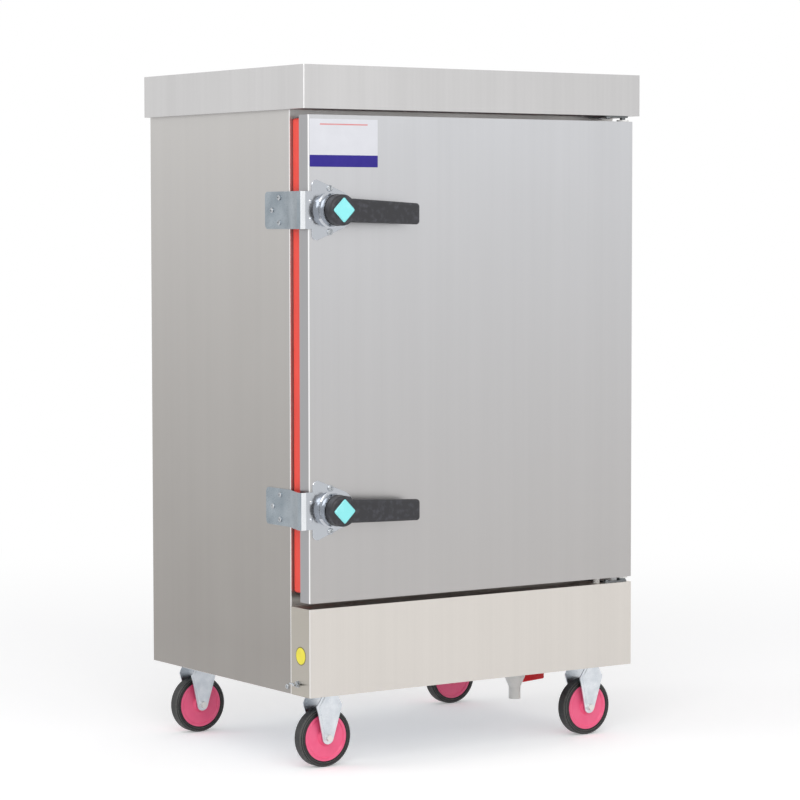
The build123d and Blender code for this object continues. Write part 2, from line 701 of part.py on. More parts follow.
def make_latch_screws(height):
    """The two screws that hold one base plate to the door."""
    screw = pan_screw(BASE_SCREW_HEAD, PAN_HEAD_RISE, BASE_SCREW_RADIUS, BASE_THICKNESS)
    x = LATCH_X - BASE_SCREW_SHIFT
    face = DOOR_FACE - BASE_THICKNESS
    spots = (-BASE_SCREW_SPACING / 2, BASE_SCREW_SPACING / 2)
    return grouped([in_front_plane(screw, x, face, height + z) for z in spots])


def spiral_point(turn, shift):
    """A point of the cam's slot after a turn in radians, moved out by a shift."""
    radius = CAM_FAR_RADIUS - BOLT_TRAVEL * turn / radians(LEVER_SWING) + shift
    angle = pi - turn
    return (radius * cos(angle), radius * sin(angle))


def cam_slot():
    """The spiral slot that pulls the bolt in as the cam turns, round at both ends, seen from the front."""
    swing = radians(LEVER_SWING)
    slant = atan(BOLT_TRAVEL / swing / CAM_NEAR_RADIUS)
    fit = BOLT_PIN_RADIUS + LOOSE_CLEARANCE / 2
    half = fit / cos(slant)
    turns = [swing * step / CAM_SLOT_STEPS for step in range(CAM_SLOT_STEPS + 1)]
    outer = Spline(*[spiral_point(turn, half) for turn in turns])
    inner = Spline(*[spiral_point(turn, -half) for turn in turns])
    slot = make_face([outer, Line(outer @ 1, inner @ 1), inner, Line(outer @ 0, inner @ 0)])
    for turn in (0, swing):
        slot += Pos(*spiral_point(turn, 0)) * Circle(fit)
    return slot


def make_latch_cam(height):
    """The cam disc with its spiral slot, and the spindle that carries the lever."""
    disc = rod_y(CAM_RADIUS, 0, (CAM_FRONT, CAM_BACK), 0)
    slot = in_front_plane(extrude(cam_slot(), 2 * CAM_THICKNESS), 0, CAM_BACK + CAM_THICKNESS / 2, 0)
    spindle = rod_y(SPINDLE_RADIUS, 0, (CAM_FRONT, DOOR_FACE), 0)
    half = SPINDLE_SQUARE / 2
    square = block((-half, half), (DOOR_FACE - HUB_REACH * 0.75, CAM_FRONT), (-half, half))
    return Pos(LATCH_X, 0, height) * (disc - slot + spindle + square)


def make_bolt_plate(height):
    """The sliding bolt: a riveted head, and a shank with the pin that follows the cam."""
    back = BOLT_FRONT + BOLT_THICKNESS
    half_head = BOLT_HEAD_HEIGHT / 2
    half_shank = BOLT_SHANK_HEIGHT / 2
    head = block((BOLT_TIP_X, BOLT_TIP_X + BOLT_HEAD_WIDTH), (BOLT_FRONT, back), (-half_head, half_head))
    shank_end = LATCH_X + SPINDLE_RADIUS + BOLT_TRAVEL / 2
    shank = block((BOLT_TIP_X, shank_end), (BOLT_FRONT, back), (-half_shank, half_shank))
    window_radius = SPINDLE_RADIUS + LOOSE_CLEARANCE
    window = block(
        (LATCH_X - BOLT_TRAVEL, shank_end + 1),
        (BOLT_FRONT - 1, back + 1),
        (-window_radius, window_radius),
    )
    window += rod_y(window_radius, LATCH_X - BOLT_TRAVEL, (BOLT_FRONT - 1, back + 1), 0)
    pin_front = CAM_FRONT + LOOSE_CLEARANCE
    pin = rod_y(BOLT_PIN_RADIUS, LATCH_X - CAM_FAR_RADIUS, (pin_front, BOLT_FRONT), 0)
    head -= rod_y(COLLAR_FOOT_RADIUS + LOOSE_CLEARANCE, LATCH_X - BOLT_TRAVEL, (BOLT_FRONT - 1, back + 1), 0)
    bolt = head + shank - window + pin
    for z in (-BOLT_RIVET_SPACING / 2, BOLT_RIVET_SPACING / 2):
        bolt += rivet_dome(BOLT_TIP_X + BOLT_RIVET_INSET, BOLT_FRONT, z)
    return Pos(0, 0, height) * bolt


def rivet_dome(x, y, z):
    """A low domed rivet head that faces the front."""
    ball_radius = BOLT_RIVET_RADIUS * 1.25
    depth = (ball_radius ** 2 - BOLT_RIVET_RADIUS ** 2) ** 0.5
    ball = Pos(x, y + depth, z) * Sphere(ball_radius)
    keep = block((x - ball_radius, x + ball_radius), (y - ball_radius, y), (z - ball_radius, z + ball_radius))
    return ball & keep


def lever_blank():
    """The lever's front and side outlines cut from each other, axis at zero, face to the front."""
    root, tip = LEVER_ROOT_HEIGHT / 2, LEVER_TIP_HEIGHT / 2
    corners = [(0, root), (LEVER_LENGTH, tip - LEVER_DROOP), (LEVER_LENGTH, -tip - LEVER_DROOP), (0, -root)]
    outline = make_face(Polyline(*corners, close=True).edges())
    outline = fillet(outline.vertices().group_by(Axis.X)[-1], LEVER_CORNER)
    arm = in_front_plane(extrude(outline, HUB_REACH), 0, 0, 0)
    front = -HUB_REACH
    back = front + LEVER_THICKNESS
    middle = LEVER_LENGTH * 0.55
    crest = ThreePointArc((0, front), (middle, front + LEVER_BOW * 0.2), (LEVER_LENGTH, front + LEVER_BOW))
    rise = LEVER_BOW * 0.4
    hollow = ThreePointArc((0, back), (middle, back - rise), (LEVER_LENGTH, back + rise))
    side = make_face([crest, Line(crest @ 1, hollow @ 1), hollow, Line(hollow @ 0, crest @ 0)])
    profile = Pos(0, 0, -LEVER_ROOT_HEIGHT) * extrude(side, 2 * LEVER_ROOT_HEIGHT)
    return arm & profile


def make_lever(height):
    """The moulded lever: a round hub over the collar and a tapering, slightly bowed grip."""
    arm = lever_blank()
    hub_back = BASE_THICKNESS + COLLAR_HEIGHT + LOOSE_CLEARANCE
    hub = rod_y(HUB_RADIUS, 0, (-HUB_REACH, -hub_back), 0)
    hub = fillet(hub.edges().sort_by(Axis.Y)[0], HUB_ROUND)
    long_edges = [edge for edge in arm.edges() if edge.length > LEVER_LENGTH / 2]
    arm = fillet(long_edges, LEVER_ROUND)
    half = SPINDLE_SQUARE / 2
    square = block((-half, half), (-HUB_REACH * 0.75, 0), (-half, half))
    return Pos(LATCH_X, DOOR_FACE, height) * (hub + arm - square)


def make_badge(height):
    """The bevelled square badge on the hub, set corner up."""
    tile = Box(BADGE_SIDE, BADGE_SIDE, BADGE_HEIGHT, align=(Align.CENTER, Align.CENTER, Align.MIN))
    tile = fillet(tile.edges().filter_by(Axis.Z), 2 * BADGE_BEVEL)
    tile = chamfer(tile.faces().sort_by(Axis.Z)[-1].edges(), BADGE_BEVEL)
    return in_front_plane(Rot(0, 0, 45) * tile, LATCH_X, DOOR_FACE - HUB_REACH, height)


def make_keeper(height):
    """The keeper: a plate on the body's side, stepped out and turned in beside the door."""
    side = -BODY_SIDE
    out = side - KEEPER_STANDOFF
    back = BODY_FRONT + KEEPER_REACH_BACK
    front = BOLT_FRONT - KEEPER_SHEET - BOLT_GAP
    path = [
        (side, back),
        (side, BODY_FRONT + 1),
        (out, BODY_FRONT - KEEPER_FLARE),
        (out, front + KEEPER_SHEET),
        (out - KEEPER_SHEET + KEEPER_LIP, front + KEEPER_SHEET),
    ]
    section = folded(path, KEEPER_SHEET, Side.RIGHT)
    strap = Pos(0, 0, height - KEEPER_HEIGHT / 2) * extrude(section, KEEPER_HEIGHT)
    rear = strap.edges().filter_by(Axis.X).group_by(Axis.Y)[-1]
    strap = fillet(rear, KEEPER_CORNER)
    for y, z in keeper_screw_places(height):
        strap -= rod_x(SCREW_RADIUS, (side - 2 * KEEPER_SHEET, side), y, z)
    return strap


def keeper_screw_places(height):
    """The three screws of one keeper, as (Y, Z)."""
    near = BODY_FRONT + KEEPER_REACH_BACK * 0.4
    far = BODY_FRONT + KEEPER_REACH_BACK * 0.7
    spread = KEEPER_HEIGHT / 3
    return [(near, height - spread), (near, height + spread), (far, height)]


def make_keeper_screws(height):
    """The three pan head screws of one keeper."""
    screw = Rot(0, -90, 0) * pan_screw(KEEPER_SCREW_RADIUS, KEEPER_SCREW_RISE, SCREW_RADIUS, KEEPER_SHEET)
    face = -BODY_SIDE - KEEPER_SHEET
    return grouped([Pos(face, y, z) * screw for y, z in keeper_screw_places(height)])


def make_tray_rack(side):
    """One rack: two posts on the liner's wall and a folded ledge on them for each tray level."""
    wall = side * (LINER_SIDE - LINER_SHEET)
    low = LINER_FLOOR + LINER_SHEET + RACK_FLOOR_CLEARANCE
    high = LINER_TOP - LINER_SHEET - RACK_TOP_CLEARANCE
    pitch = (high - low) / (RACK_LEVELS - 1)
    front = LINER_FRONT + RAIL_END_GAP
    back = LINER_BACK - LINER_SHEET - RAIL_END_GAP
    post_face = wall - side * RACK_POST_THICKNESS
    pieces = []
    for y in (front + RACK_POST_INSET, back - RACK_POST_INSET):
        depth = (y - RACK_POST_WIDTH / 2, y + RACK_POST_WIDTH / 2)
        pieces.append(block(ordered(wall, post_face), depth, (low - RAIL_LEG, high + RAIL_LEG)))
    path = [(post_face, -RAIL_LEG), (post_face, 0), (post_face - side * RAIL_LEDGE, 0)]
    section = folded(path, RAIL_SHEET, Side.LEFT if side > 0 else Side.RIGHT)
    rail = Rot(90, 0, 0) * extrude(section, back - front)
    for level in range(RACK_LEVELS):
        pieces.append(Pos(0, back, low + level * pitch) * rail)
    return grouped(pieces)


def make_water_tank():
    """The open tank under the chamber's floor, with holes for the pipes and elements."""
    half = TANK_WIDTH / 2
    outer = block((-half, half), (TANK_FRONT, TANK_BACK), (TANK_BOTTOM, TANK_TOP))
    inner = block(
        (-half + TANK_SHEET, half - TANK_SHEET),
        (TANK_FRONT + TANK_SHEET, TANK_BACK - TANK_SHEET),
        (TANK_BOTTOM + TANK_SHEET, TANK_TOP + 1),
    )
    tank = outer - inner
    for x in element_places():
        for leg in (-ELEMENT_BEND, ELEMENT_BEND):
            tank -= rod_y(ELEMENT_RADIUS, x + leg, (TANK_FRONT - 1, TANK_FRONT + 2 * TANK_SHEET), element_z())
    tank -= rod_z(DRAIN_PIPE_RADIUS, DRAIN_X, DRAIN_Y, (TANK_BOTTOM - 1, TANK_BOTTOM + 2 * TANK_SHEET))
    tank -= rod_y(FLOAT_BODY_RADIUS, FLOAT_X, (TANK_BACK - 2 * TANK_SHEET, TANK_BACK + 1), FLOAT_Z)
    return tank


def element_places():
    """The middle of each heating element across the tank."""
    first = -ELEMENT_PITCH * (ELEMENT_COUNT - 1) / 2
    return [first + ELEMENT_PITCH * index for index in range(ELEMENT_COUNT)]


def element_z():
    """The height of the heating elements."""
    return TANK_BOTTOM + ELEMENT_HEIGHT


def make_heating_elements():
    """Hairpin heating tubes, each on its own round flange at the tank's front."""
    group = []
    for x in element_places():
        start = TANK_FRONT - ELEMENT_TAIL
        turn = TANK_BACK - ELEMENT_END_GAP - ELEMENT_BEND
        left, right = x - ELEMENT_BEND, x + ELEMENT_BEND
        z = element_z()
        out = Line((left, start, z), (left, turn, z))
        bend = ThreePointArc((left, turn, z), (x, turn + ELEMENT_BEND, z), (right, turn, z))
        back = Line((right, turn, z), (right, start, z))
        path = Wire([out, bend, back])
        section = Plane(path @ 0, z_dir=path % 0) * Circle(ELEMENT_RADIUS)
        tube = sweep(section, path)
        flange = rod_y(ELEMENT_FLANGE_RADIUS, x, (TANK_FRONT - ELEMENT_FLANGE_THICKNESS, TANK_FRONT), z)
        group.append(tube + flange)
    return grouped(group)


def make_steam_plate():
    """The perforated plate over the tank, which spreads the steam."""
    half = TANK_WIDTH / 2 + PLATE_OVERLAP
    low = LINER_FLOOR + LINER_SHEET
    plate = block(
        (-half, half),
        (TANK_FRONT - PLATE_OVERLAP, TANK_BACK + PLATE_OVERLAP),
        (low, low + PLATE_THICKNESS),
    )
    column_pitch = TANK_WIDTH / (PLATE_HOLE_COLUMNS + 1)
    row_pitch = (TANK_BACK - TANK_FRONT) / (PLATE_HOLE_ROWS + 1)
    for column in range(1, PLATE_HOLE_COLUMNS + 1):
        for row in range(1, PLATE_HOLE_ROWS + 1):
            x = -TANK_WIDTH / 2 + column * column_pitch
            y = TANK_FRONT + row * row_pitch
            plate -= rod_z(PLATE_HOLE_RADIUS, x, y, (low - 1, low + PLATE_THICKNESS + 1))
    return plate


def make_float_valve():
    """The inlet valve body on the tank's back wall, with ears for the float arm."""
    radius = FLOAT_BODY_RADIUS
    body = rod_y(radius, FLOAT_X, (TANK_BACK - 3 * radius, TANK_BACK + FLOAT_BODY_TAIL), FLOAT_Z)
    ear_y = (TANK_BACK - 4 * radius, TANK_BACK - 2.5 * radius)
    ear_z = (FLOAT_Z - FLOAT_EAR / 2, FLOAT_Z + FLOAT_EAR / 2)
    ears = block((FLOAT_X - radius, FLOAT_X + radius), ear_y, ear_z)
    slot_z = (FLOAT_Z - FLOAT_EAR, FLOAT_Z + FLOAT_EAR)
    ears -= block((FLOAT_X - radius / 2, FLOAT_X + radius / 2), (ear_y[0] - 1, ear_y[1] - 4), slot_z)
    pin = rod_x(FLOAT_PIN_RADIUS, (FLOAT_X - radius, FLOAT_X + radius), FLOAT_Y, FLOAT_Z)
    return body + ears + pin


def make_float_arm():
    """The float arm at its lower stop on the pin, with the hollow float at its end."""
    half_eye = FLOAT_BODY_RADIUS / 2 - LOOSE_CLEARANCE - RUNNING_CLEARANCE
    eye = rod_x(2 * FLOAT_PIN_RADIUS, (-half_eye, half_eye), 0, 0)
    arm = rod_y(FLOAT_ARM_RADIUS, 0, (-FLOAT_ARM_LENGTH, 0), 0)
    ball = Pos(0, -FLOAT_ARM_LENGTH - FLOAT_RADIUS * 0.8, 0) * Sphere(FLOAT_RADIUS)
    bore = rod_x(FLOAT_PIN_RADIUS + RUNNING_CLEARANCE, (-half_eye - 1, half_eye + 1), 0, 0)
    return Pos(FLOAT_X, FLOAT_Y, FLOAT_Z) * Rot(FLOAT_DROOP, 0, 0) * (eye + arm + ball - bore)


def make_base_plate():
    """The bottom sheet inside the skirt, which closes the machine space."""
    inside = BODY_SIDE - SHEET
    plate = block(
        (-inside, inside),
        (BODY_FRONT + SHEET + SHEET, BODY_BACK - 2 * SHEET),
        (BASE_UNDERSIDE, BASE_UNDERSIDE + BASE_PLATE_SHEET),
    )
    for side in (-1, 1):
        corner = block(
            ordered(side * inside, side * (inside - SHEET)),
            (BODY_FRONT, BODY_FRONT + FRAME_RETURN),
            (BASE_UNDERSIDE - 1, BASE_UNDERSIDE + 2 * BASE_PLATE_SHEET),
        )
        plate -= corner
    hole_z = (BASE_UNDERSIDE - 1, BASE_UNDERSIDE + 2 * BASE_PLATE_SHEET)
    return plate - rod_z(DRAIN_PIPE_RADIUS + 1, DRAIN_X, DRAIN_Y, hole_z)


def make_base_rail(side):
    """A channel from front to back that the casters bolt up to."""
    low = BASE_UNDERSIDE + BASE_PLATE_SHEET
    middle = side * (BODY_SIDE - CASTER_INSET)
    half = BASE_RAIL_WIDTH / 2
    path = [
        (middle - half, low + BASE_RAIL_HEIGHT),
        (middle - half, low),
        (middle + half, low),
        (middle + half, low + BASE_RAIL_HEIGHT),
    ]
    section = folded(path, BASE_PLATE_SHEET, Side.LEFT)
    front = BODY_FRONT + FRAME_RETURN + 1
    back = BODY_BACK - BACK_FLANGE
    return Pos(0, back, 0) * Rot(90, 0, 0) * extrude(section, back - front)


def caster_places():
    """The four casters as (name, X, Y of the wheel's middle)."""
    half = BODY_SIDE - CASTER_INSET
    front = DOOR_FACE + FRONT_CASTER_SETBACK
    rear = BODY_BACK - REAR_CASTER_INSET
    return [
        ("front_left", -half, front),
        ("front_right", half, front),
        ("rear_left", -half, rear),
        ("rear_right", half, rear),
    ]


def fork_cheek_outline(rim=0.0):
    """One cheek of the caster fork from its axle up: narrow crown, wide shoulders, round tip, less a rim."""
    top = BASE_UNDERSIDE - MOUNT_PLATE_THICKNESS - WHEEL_RADIUS
    crown = FORK_CROWN_WIDTH / 2 - rim
    cheek = FORK_CHEEK_WIDTH / 2 - rim
    neck = top - FORK_NECK_DROP
    shoulder = top - FORK_CHEEK_DROP
    right = [(crown, top - rim), (crown, neck), (cheek, shoulder)]
    left = [(-across, up) for across, up in reversed(right)]
    crest = make_face(Polyline(*right, *left, close=True).edges())
    round_tip = Circle(FORK_TIP_RADIUS - rim)
    leg = make_hull(round_tip.edges() + Line((-cheek, shoulder), (cheek, shoulder)).edges())
    outline = crest + leg
    corners = [v for v in outline.vertices() if abs(v.Y - shoulder) < 1 and abs(v.X) > crown]
    return fillet(corners, FORK_SHOULDER_ROUND - rim / 2)


def fork_face(height):
    """How far a cheek's outer face stands from the fork's middle, at a height above the axle."""
    lean = radians(FORK_SPLAY)
    return FORK_INNER_WIDTH / 2 + (FORK_TIP_RADIUS + height) * tan(lean) + FORK_SHEET / cos(lean)


def fork_cheek():
    """The front cheek with its pressed field, leaning out from its tip to the crown."""
    cheek = extrude(fork_cheek_outline(), FORK_SHEET)
    field = extrude(fork_cheek_outline(FORK_RIM), FORK_RIB_HEIGHT)
    field = chamfer(field.faces().sort_by(Axis.Z)[-1].edges(), FORK_RIB_HEIGHT * 0.6)
    upright = Rot(90, 0, 0) * (cheek + Pos(0, 0, FORK_SHEET) * field)
    inner_face = fork_face(0) - FORK_SHEET / cos(radians(FORK_SPLAY))
    return Pos(0, -inner_face, WHEEL_RADIUS) * Rot(FORK_SPLAY, 0, 0) * upright


def make_caster_fork(x, y):
    """A fixed fork: a mounting plate, a crown, and two pressed cheeks that lean in to the axle."""
    top = BASE_UNDERSIDE - MOUNT_PLATE_THICKNESS
    spread = fork_face(top - WHEEL_RADIUS)
    crown = FORK_CROWN_WIDTH / 2
    cheek = fork_cheek()
    fork = cheek + Rot(0, 0, 180) * cheek
    fork += block((-crown, crown), (-spread, spread), (top - FORK_SHEET, top))
    length, width = MOUNT_PLATE_LENGTH / 2, MOUNT_PLATE_WIDTH / 2
    plate = block((-length, length), (-width, width), (top, BASE_UNDERSIDE))
    fork += fillet(plate.edges().filter_by(Axis.Z), MOUNT_BOLT_RADIUS * 2)
    for bolt_x, bolt_y in mount_bolt_places():
        fork -= rod_z(MOUNT_BOLT_RADIUS, bolt_x, bolt_y, (top - 1, BASE_UNDERSIDE + 1))
    fork -= rod_y(AXLE_RADIUS, 0, (-width, width), WHEEL_RADIUS)
    return Pos(x, y, 0) * fork


def mount_bolt_places():
    """The four bolts of one mounting plate, from its middle."""
    return [(sx * MOUNT_BOLT_X / 2, sy * MOUNT_BOLT_Y / 2) for sx in (-1, 1) for sy in (-1, 1)]


def make_mount_bolts():
    """The hexagon bolts of all four mounting plates."""
    group = []
    under = BASE_UNDERSIDE - MOUNT_PLATE_THICKNESS
    head_height = MOUNT_BOLT_RADIUS * 1.1
    head = extrude(RegularPolygon(MOUNT_BOLT_RADIUS * 1.7, 6), head_height)
    shank = Cylinder(MOUNT_BOLT_RADIUS, MOUNT_PLATE_THICKNESS, align=(Align.CENTER, Align.CENTER, Align.MIN))
    for _, x, y in caster_places():
        for bolt_x, bolt_y in mount_bolt_places():
            bolt = Pos(0, 0, under - head_height) * head + Pos(0, 0, under) * shank
            group.append(Pos(x + bolt_x, y + bolt_y, 0) * bolt)
    return grouped(group)


def make_caster_axle(x, y):
    """The axle bolt with its hexagon head in front and its nut behind, both on the cheeks' fields."""
    seat = fork_face(AXLE_HEAD_RADIUS) + FORK_RIB_HEIGHT
    bolt = rod_y(AXLE_RADIUS, 0, (-seat, seat + AXLE_HEAD_HEIGHT + AXLE_TAIL), 0)
    hexagon = extrude(RegularPolygon(AXLE_HEAD_RADIUS, 6), AXLE_HEAD_HEIGHT)
    bolt += in_front_plane(hexagon, 0, -seat, 0)
    bolt += in_front_plane(hexagon, 0, seat + AXLE_HEAD_HEIGHT, 0)
    return Pos(x, y, WHEEL_RADIUS) * bolt


def make_wheel_hub(x, y):
    """The moulded wheel centre: boss, recessed disc and grooved rim."""
    half = WHEEL_WIDTH / 2 - 1
    boss_half = HUB_BOSS_WIDTH / 2
    bore = AXLE_RADIUS + RUNNING_CLEARANCE
    web = half - HUB_DISC_RECESS
    rim = HUB_DISC_RADIUS
    right = [
        (bore, boss_half),
        (HUB_BOSS_RADIUS - 3, boss_half),
        (HUB_BOSS_RADIUS, web),
        (rim - 6, web),
        (rim - 4, half),
        (rim, half),
        (rim, half / 2),
        (rim + TYRE_KEY_DEPTH, half / 2),
    ]
    left = [(radius, -distance) for radius, distance in reversed(right)]
    return turned(right + left, x, y, WHEEL_RADIUS)


def make_wheel_tyre(x, y):
    """The solid tyre: keyed on the rim, with a groove beside the disc and a stepped tread."""
    half = WHEEL_WIDTH / 2
    key = (half - 1) / 2
    inner = HUB_DISC_RADIUS
    floor = half - TYRE_GROOVE_DEPTH
    shoulder = WHEEL_RADIUS - TREAD_STEP
    right = [
        (inner + TYRE_KEY_DEPTH, key),
        (inner, key),
        (inner, floor),
        (inner + TYRE_GROOVE_WIDTH, floor),
        (inner + TYRE_GROOVE_WIDTH, half),
        (shoulder - TYRE_CHAMFER, half),
        (shoulder, half - TYRE_CHAMFER),
        (shoulder, TREAD_HALF_WIDTH),
        (WHEEL_RADIUS, TREAD_HALF_WIDTH - TREAD_STEP),
    ]
    left = [(radius, -distance) for radius, distance in reversed(right)]
    return turned(right + left, x, y, WHEEL_RADIUS)


def make_drain_pipe():
    """The pipe from the tank's bottom down to the drain valve."""
    pipe = rod_z(DRAIN_PIPE_RADIUS, DRAIN_X, DRAIN_Y, (VALVE_TOP, TANK_BOTTOM + TANK_SHEET))
    flange = rod_z(2 * DRAIN_PIPE_RADIUS, DRAIN_X, DRAIN_Y, (TANK_BOTTOM - 2 * TANK_SHEET, TANK_BOTTOM))
    bore = rod_z(DRAIN_PIPE_RADIUS - PIPE_WALL, DRAIN_X, DRAIN_Y, (VALVE_TOP - 1, TANK_TOP))
    return pipe + flange - bore


def make_valve_body():
    """The plastic drain valve: a ribbed barrel that tapers to its spout."""
    mid = (VALVE_TOP + VALVE_BOTTOM) / 2
    outline = [
        (DRAIN_PIPE_RADIUS + 3, VALVE_TOP),
        (VALVE_RADIUS, VALVE_TOP - 5),
        (VALVE_RADIUS, mid),
        (SPOUT_RADIUS + 2.5, VALVE_BOTTOM + 6),
        (SPOUT_RADIUS, VALVE_BOTTOM),
        (SPOUT_RADIUS, SPOUT_BOTTOM),
        (SPOUT_RADIUS - PIPE_WALL, SPOUT_BOTTOM),
        (SPOUT_RADIUS - PIPE_WALL, VALVE_BOTTOM),
        (0, VALVE_BOTTOM),
        (0, VALVE_TOP),
    ]
    section = Plane.XZ * make_face(Polyline(*outline, close=True).edges())
    body = revolve(section, Axis.Z)
    face = VALVE_RADIUS + VALVE_NECK
    seat = VALVE_RADIUS / 2
    neck = rod_y(VALVE_STEM_RADIUS + VALVE_NECK, 0, (seat, face), VALVE_STEM_HEIGHT)
    stem_hole = rod_y(VALVE_STEM_RADIUS + RUNNING_CLEARANCE, 0, (seat, face + 1), VALVE_STEM_HEIGHT)
    return Pos(DRAIN_X, DRAIN_Y, 0) * (body + neck - stem_hole)


def make_valve_lever():
    """The valve's tapering lever on its stem behind the valve, pointing right when it is shut."""
    face = VALVE_RADIUS + VALVE_NECK + LOOSE_CLEARANCE
    tip = Pos(VALVE_LEVER_LENGTH - VALVE_LEVER_TIP, -VALVE_LEVER_DROOP) * Circle(VALVE_LEVER_TIP)
    blade = extrude(make_hull(Circle(VALVE_LEVER_ROOT).edges() + tip.edges()), VALVE_LEVER_THICKNESS)
    boss = extrude(Circle(VALVE_STEM_RADIUS + 1), 2 * VALVE_LEVER_THICKNESS)
    plate = Pos(0, face + VALVE_LEVER_THICKNESS, 0) * Rot(90, 0, 0) * blade
    cap = Pos(0, face + 2 * VALVE_LEVER_THICKNESS, 0) * Rot(90, 0, 0) * boss
    stem = rod_y(VALVE_STEM_RADIUS, 0, (VALVE_RADIUS / 2 + LOOSE_CLEARANCE, face), 0)
    return Pos(DRAIN_X, DRAIN_Y, VALVE_STEM_HEIGHT) * (plate + cap + stem)


def make_water_inlet():
    """The threaded water nipple on the back, and its pipe to the float valve."""
    start = TANK_BACK + FLOAT_BODY_TAIL
    end = BODY_BACK + STUB_REACH
    x, z = FLOAT_X, FLOAT_Z
    pipe = rod_y(INLET_RADIUS - PIPE_WALL, x, (start, BODY_BACK), z)
    collar = rod_y(INLET_RADIUS, x, (BODY_BACK - 2 * SHEET, end), z)
    hexagon = extrude(RegularPolygon(INLET_RADIUS * 1.6, 6), INLET_NUT)
    nut = in_front_plane(hexagon, x, BODY_BACK + INLET_NUT - SHEET, z)
    return pipe + collar + nut - rod_y(INLET_RADIUS - 2 * PIPE_WALL, x, (start - 1, end + 1), z)


def make_vent_pipe():
    """The vent: a throat from the chamber's back wall, a flange on the back panel and a spigot."""
    start = LINER_BACK - LINER_SHEET
    seat = BODY_BACK - SHEET
    flange_end = seat + VENT_FLANGE_THICKNESS
    end = flange_end + VENT_SPIGOT
    throat = rod_y(VENT_THROAT_RADIUS, 0, (start, seat), VENT_HEIGHT)
    flange = rod_y(VENT_FLANGE_RADIUS, 0, (seat, flange_end), VENT_HEIGHT)
    spigot = rod_y(VENT_RADIUS, 0, (flange_end, end), VENT_HEIGHT)
    bore = rod_y(VENT_RADIUS - PIPE_WALL, 0, (start - 1, end + 1), VENT_HEIGHT)
    return throat + flange + spigot - bore


def make_cable_gland():
    """The cable gland on the back, with its domed nut and bore."""
    inside = BODY_BACK - 2 * SHEET
    outside = BODY_BACK - SHEET
    body = rod_y(GLAND_RADIUS, GLAND_X, (inside - GLAND_TAIL, BODY_BACK + GLAND_REACH), GLAND_HEIGHT)
    body = fillet(body.edges().sort_by(Axis.Y)[-1], GLAND_ROUND)
    hexagon = extrude(RegularPolygon(GLAND_RADIUS * 1.4, 6), GLAND_NUT)
    nut = in_front_plane(hexagon, GLAND_X, outside + GLAND_NUT, GLAND_HEIGHT)
    inner_nut = in_front_plane(hexagon, GLAND_X, inside, GLAND_HEIGHT)
    bore_y = (inside - GLAND_TAIL - 1, BODY_BACK + GLAND_REACH + 1)
    return body + nut + inner_nut - rod_y(GLAND_BORE, GLAND_X, bore_y, GLAND_HEIGHT)


def make_side_screws():
    """One pan head screw low on each side, through the side sheet and the front frame's return."""
    screw = pan_screw(PAN_HEAD_RADIUS, PAN_HEAD_RISE, SCREW_RADIUS, 2 * SHEET)
    group = []
    for side in (-1, 1):
        place = Pos(side * BODY_SIDE, BODY_FRONT + SIDE_SCREW_SETBACK, SIDE_SCREW_HEIGHT)
        group.append(place * Rot(0, side * 90, 0) * screw)
    return grouped(group)


def make_earth_stud():
    """The earth stud on the apron's left return, with its washer, wing nut and inner nut."""
    half = EARTH_STUD_LENGTH / 2
    stud = rod_z(EARTH_STUD_RADIUS, 0, 0, (-half, half))
    stud += rod_z(EARTH_WASHER_RADIUS, 0, 0, (0, EARTH_WASHER_THICKNESS))
    nut = extrude(RegularPolygon(EARTH_NUT_RADIUS, 6), EARTH_NUT_HEIGHT)
    stud += Pos(0, 0, EARTH_WASHER_THICKNESS) * (nut + wing_pair())
    stud += Pos(0, 0, -SHEET - EARTH_NUT_HEIGHT) * nut
    return Pos(-BODY_SIDE, DOOR_FACE + EARTH_SETBACK, EARTH_HEIGHT) * Rot(0, -90, 0) * stud


def wing_pair():
    """The two raised wings of the earth nut, lying from front to back on the side."""
    half = WING_SPAN / 2
    top = WING_RISE
    wing = Spline((0, 0), (half * 0.6, top * 0.55), (half, top))
    under = Spline((half, top), (half * 0.75, top * 0.2), (EARTH_STUD_RADIUS, 0))
    blade = make_face([wing, under, Line((EARTH_STUD_RADIUS, 0), (0, 0))])
    solid = Pos(0, WING_THICKNESS / 2, 0) * Rot(90, 0, 0) * extrude(blade, WING_THICKNESS)
    pair = solid + Rot(0, 0, 180) * solid
    return Rot(0, 0, 90) * pair


def grouped(shapes):
    """Several separate pieces as one node."""
    solids = []
    for shape in shapes:
        solids.extend(shape.solids())
    return Compound(children=solids)


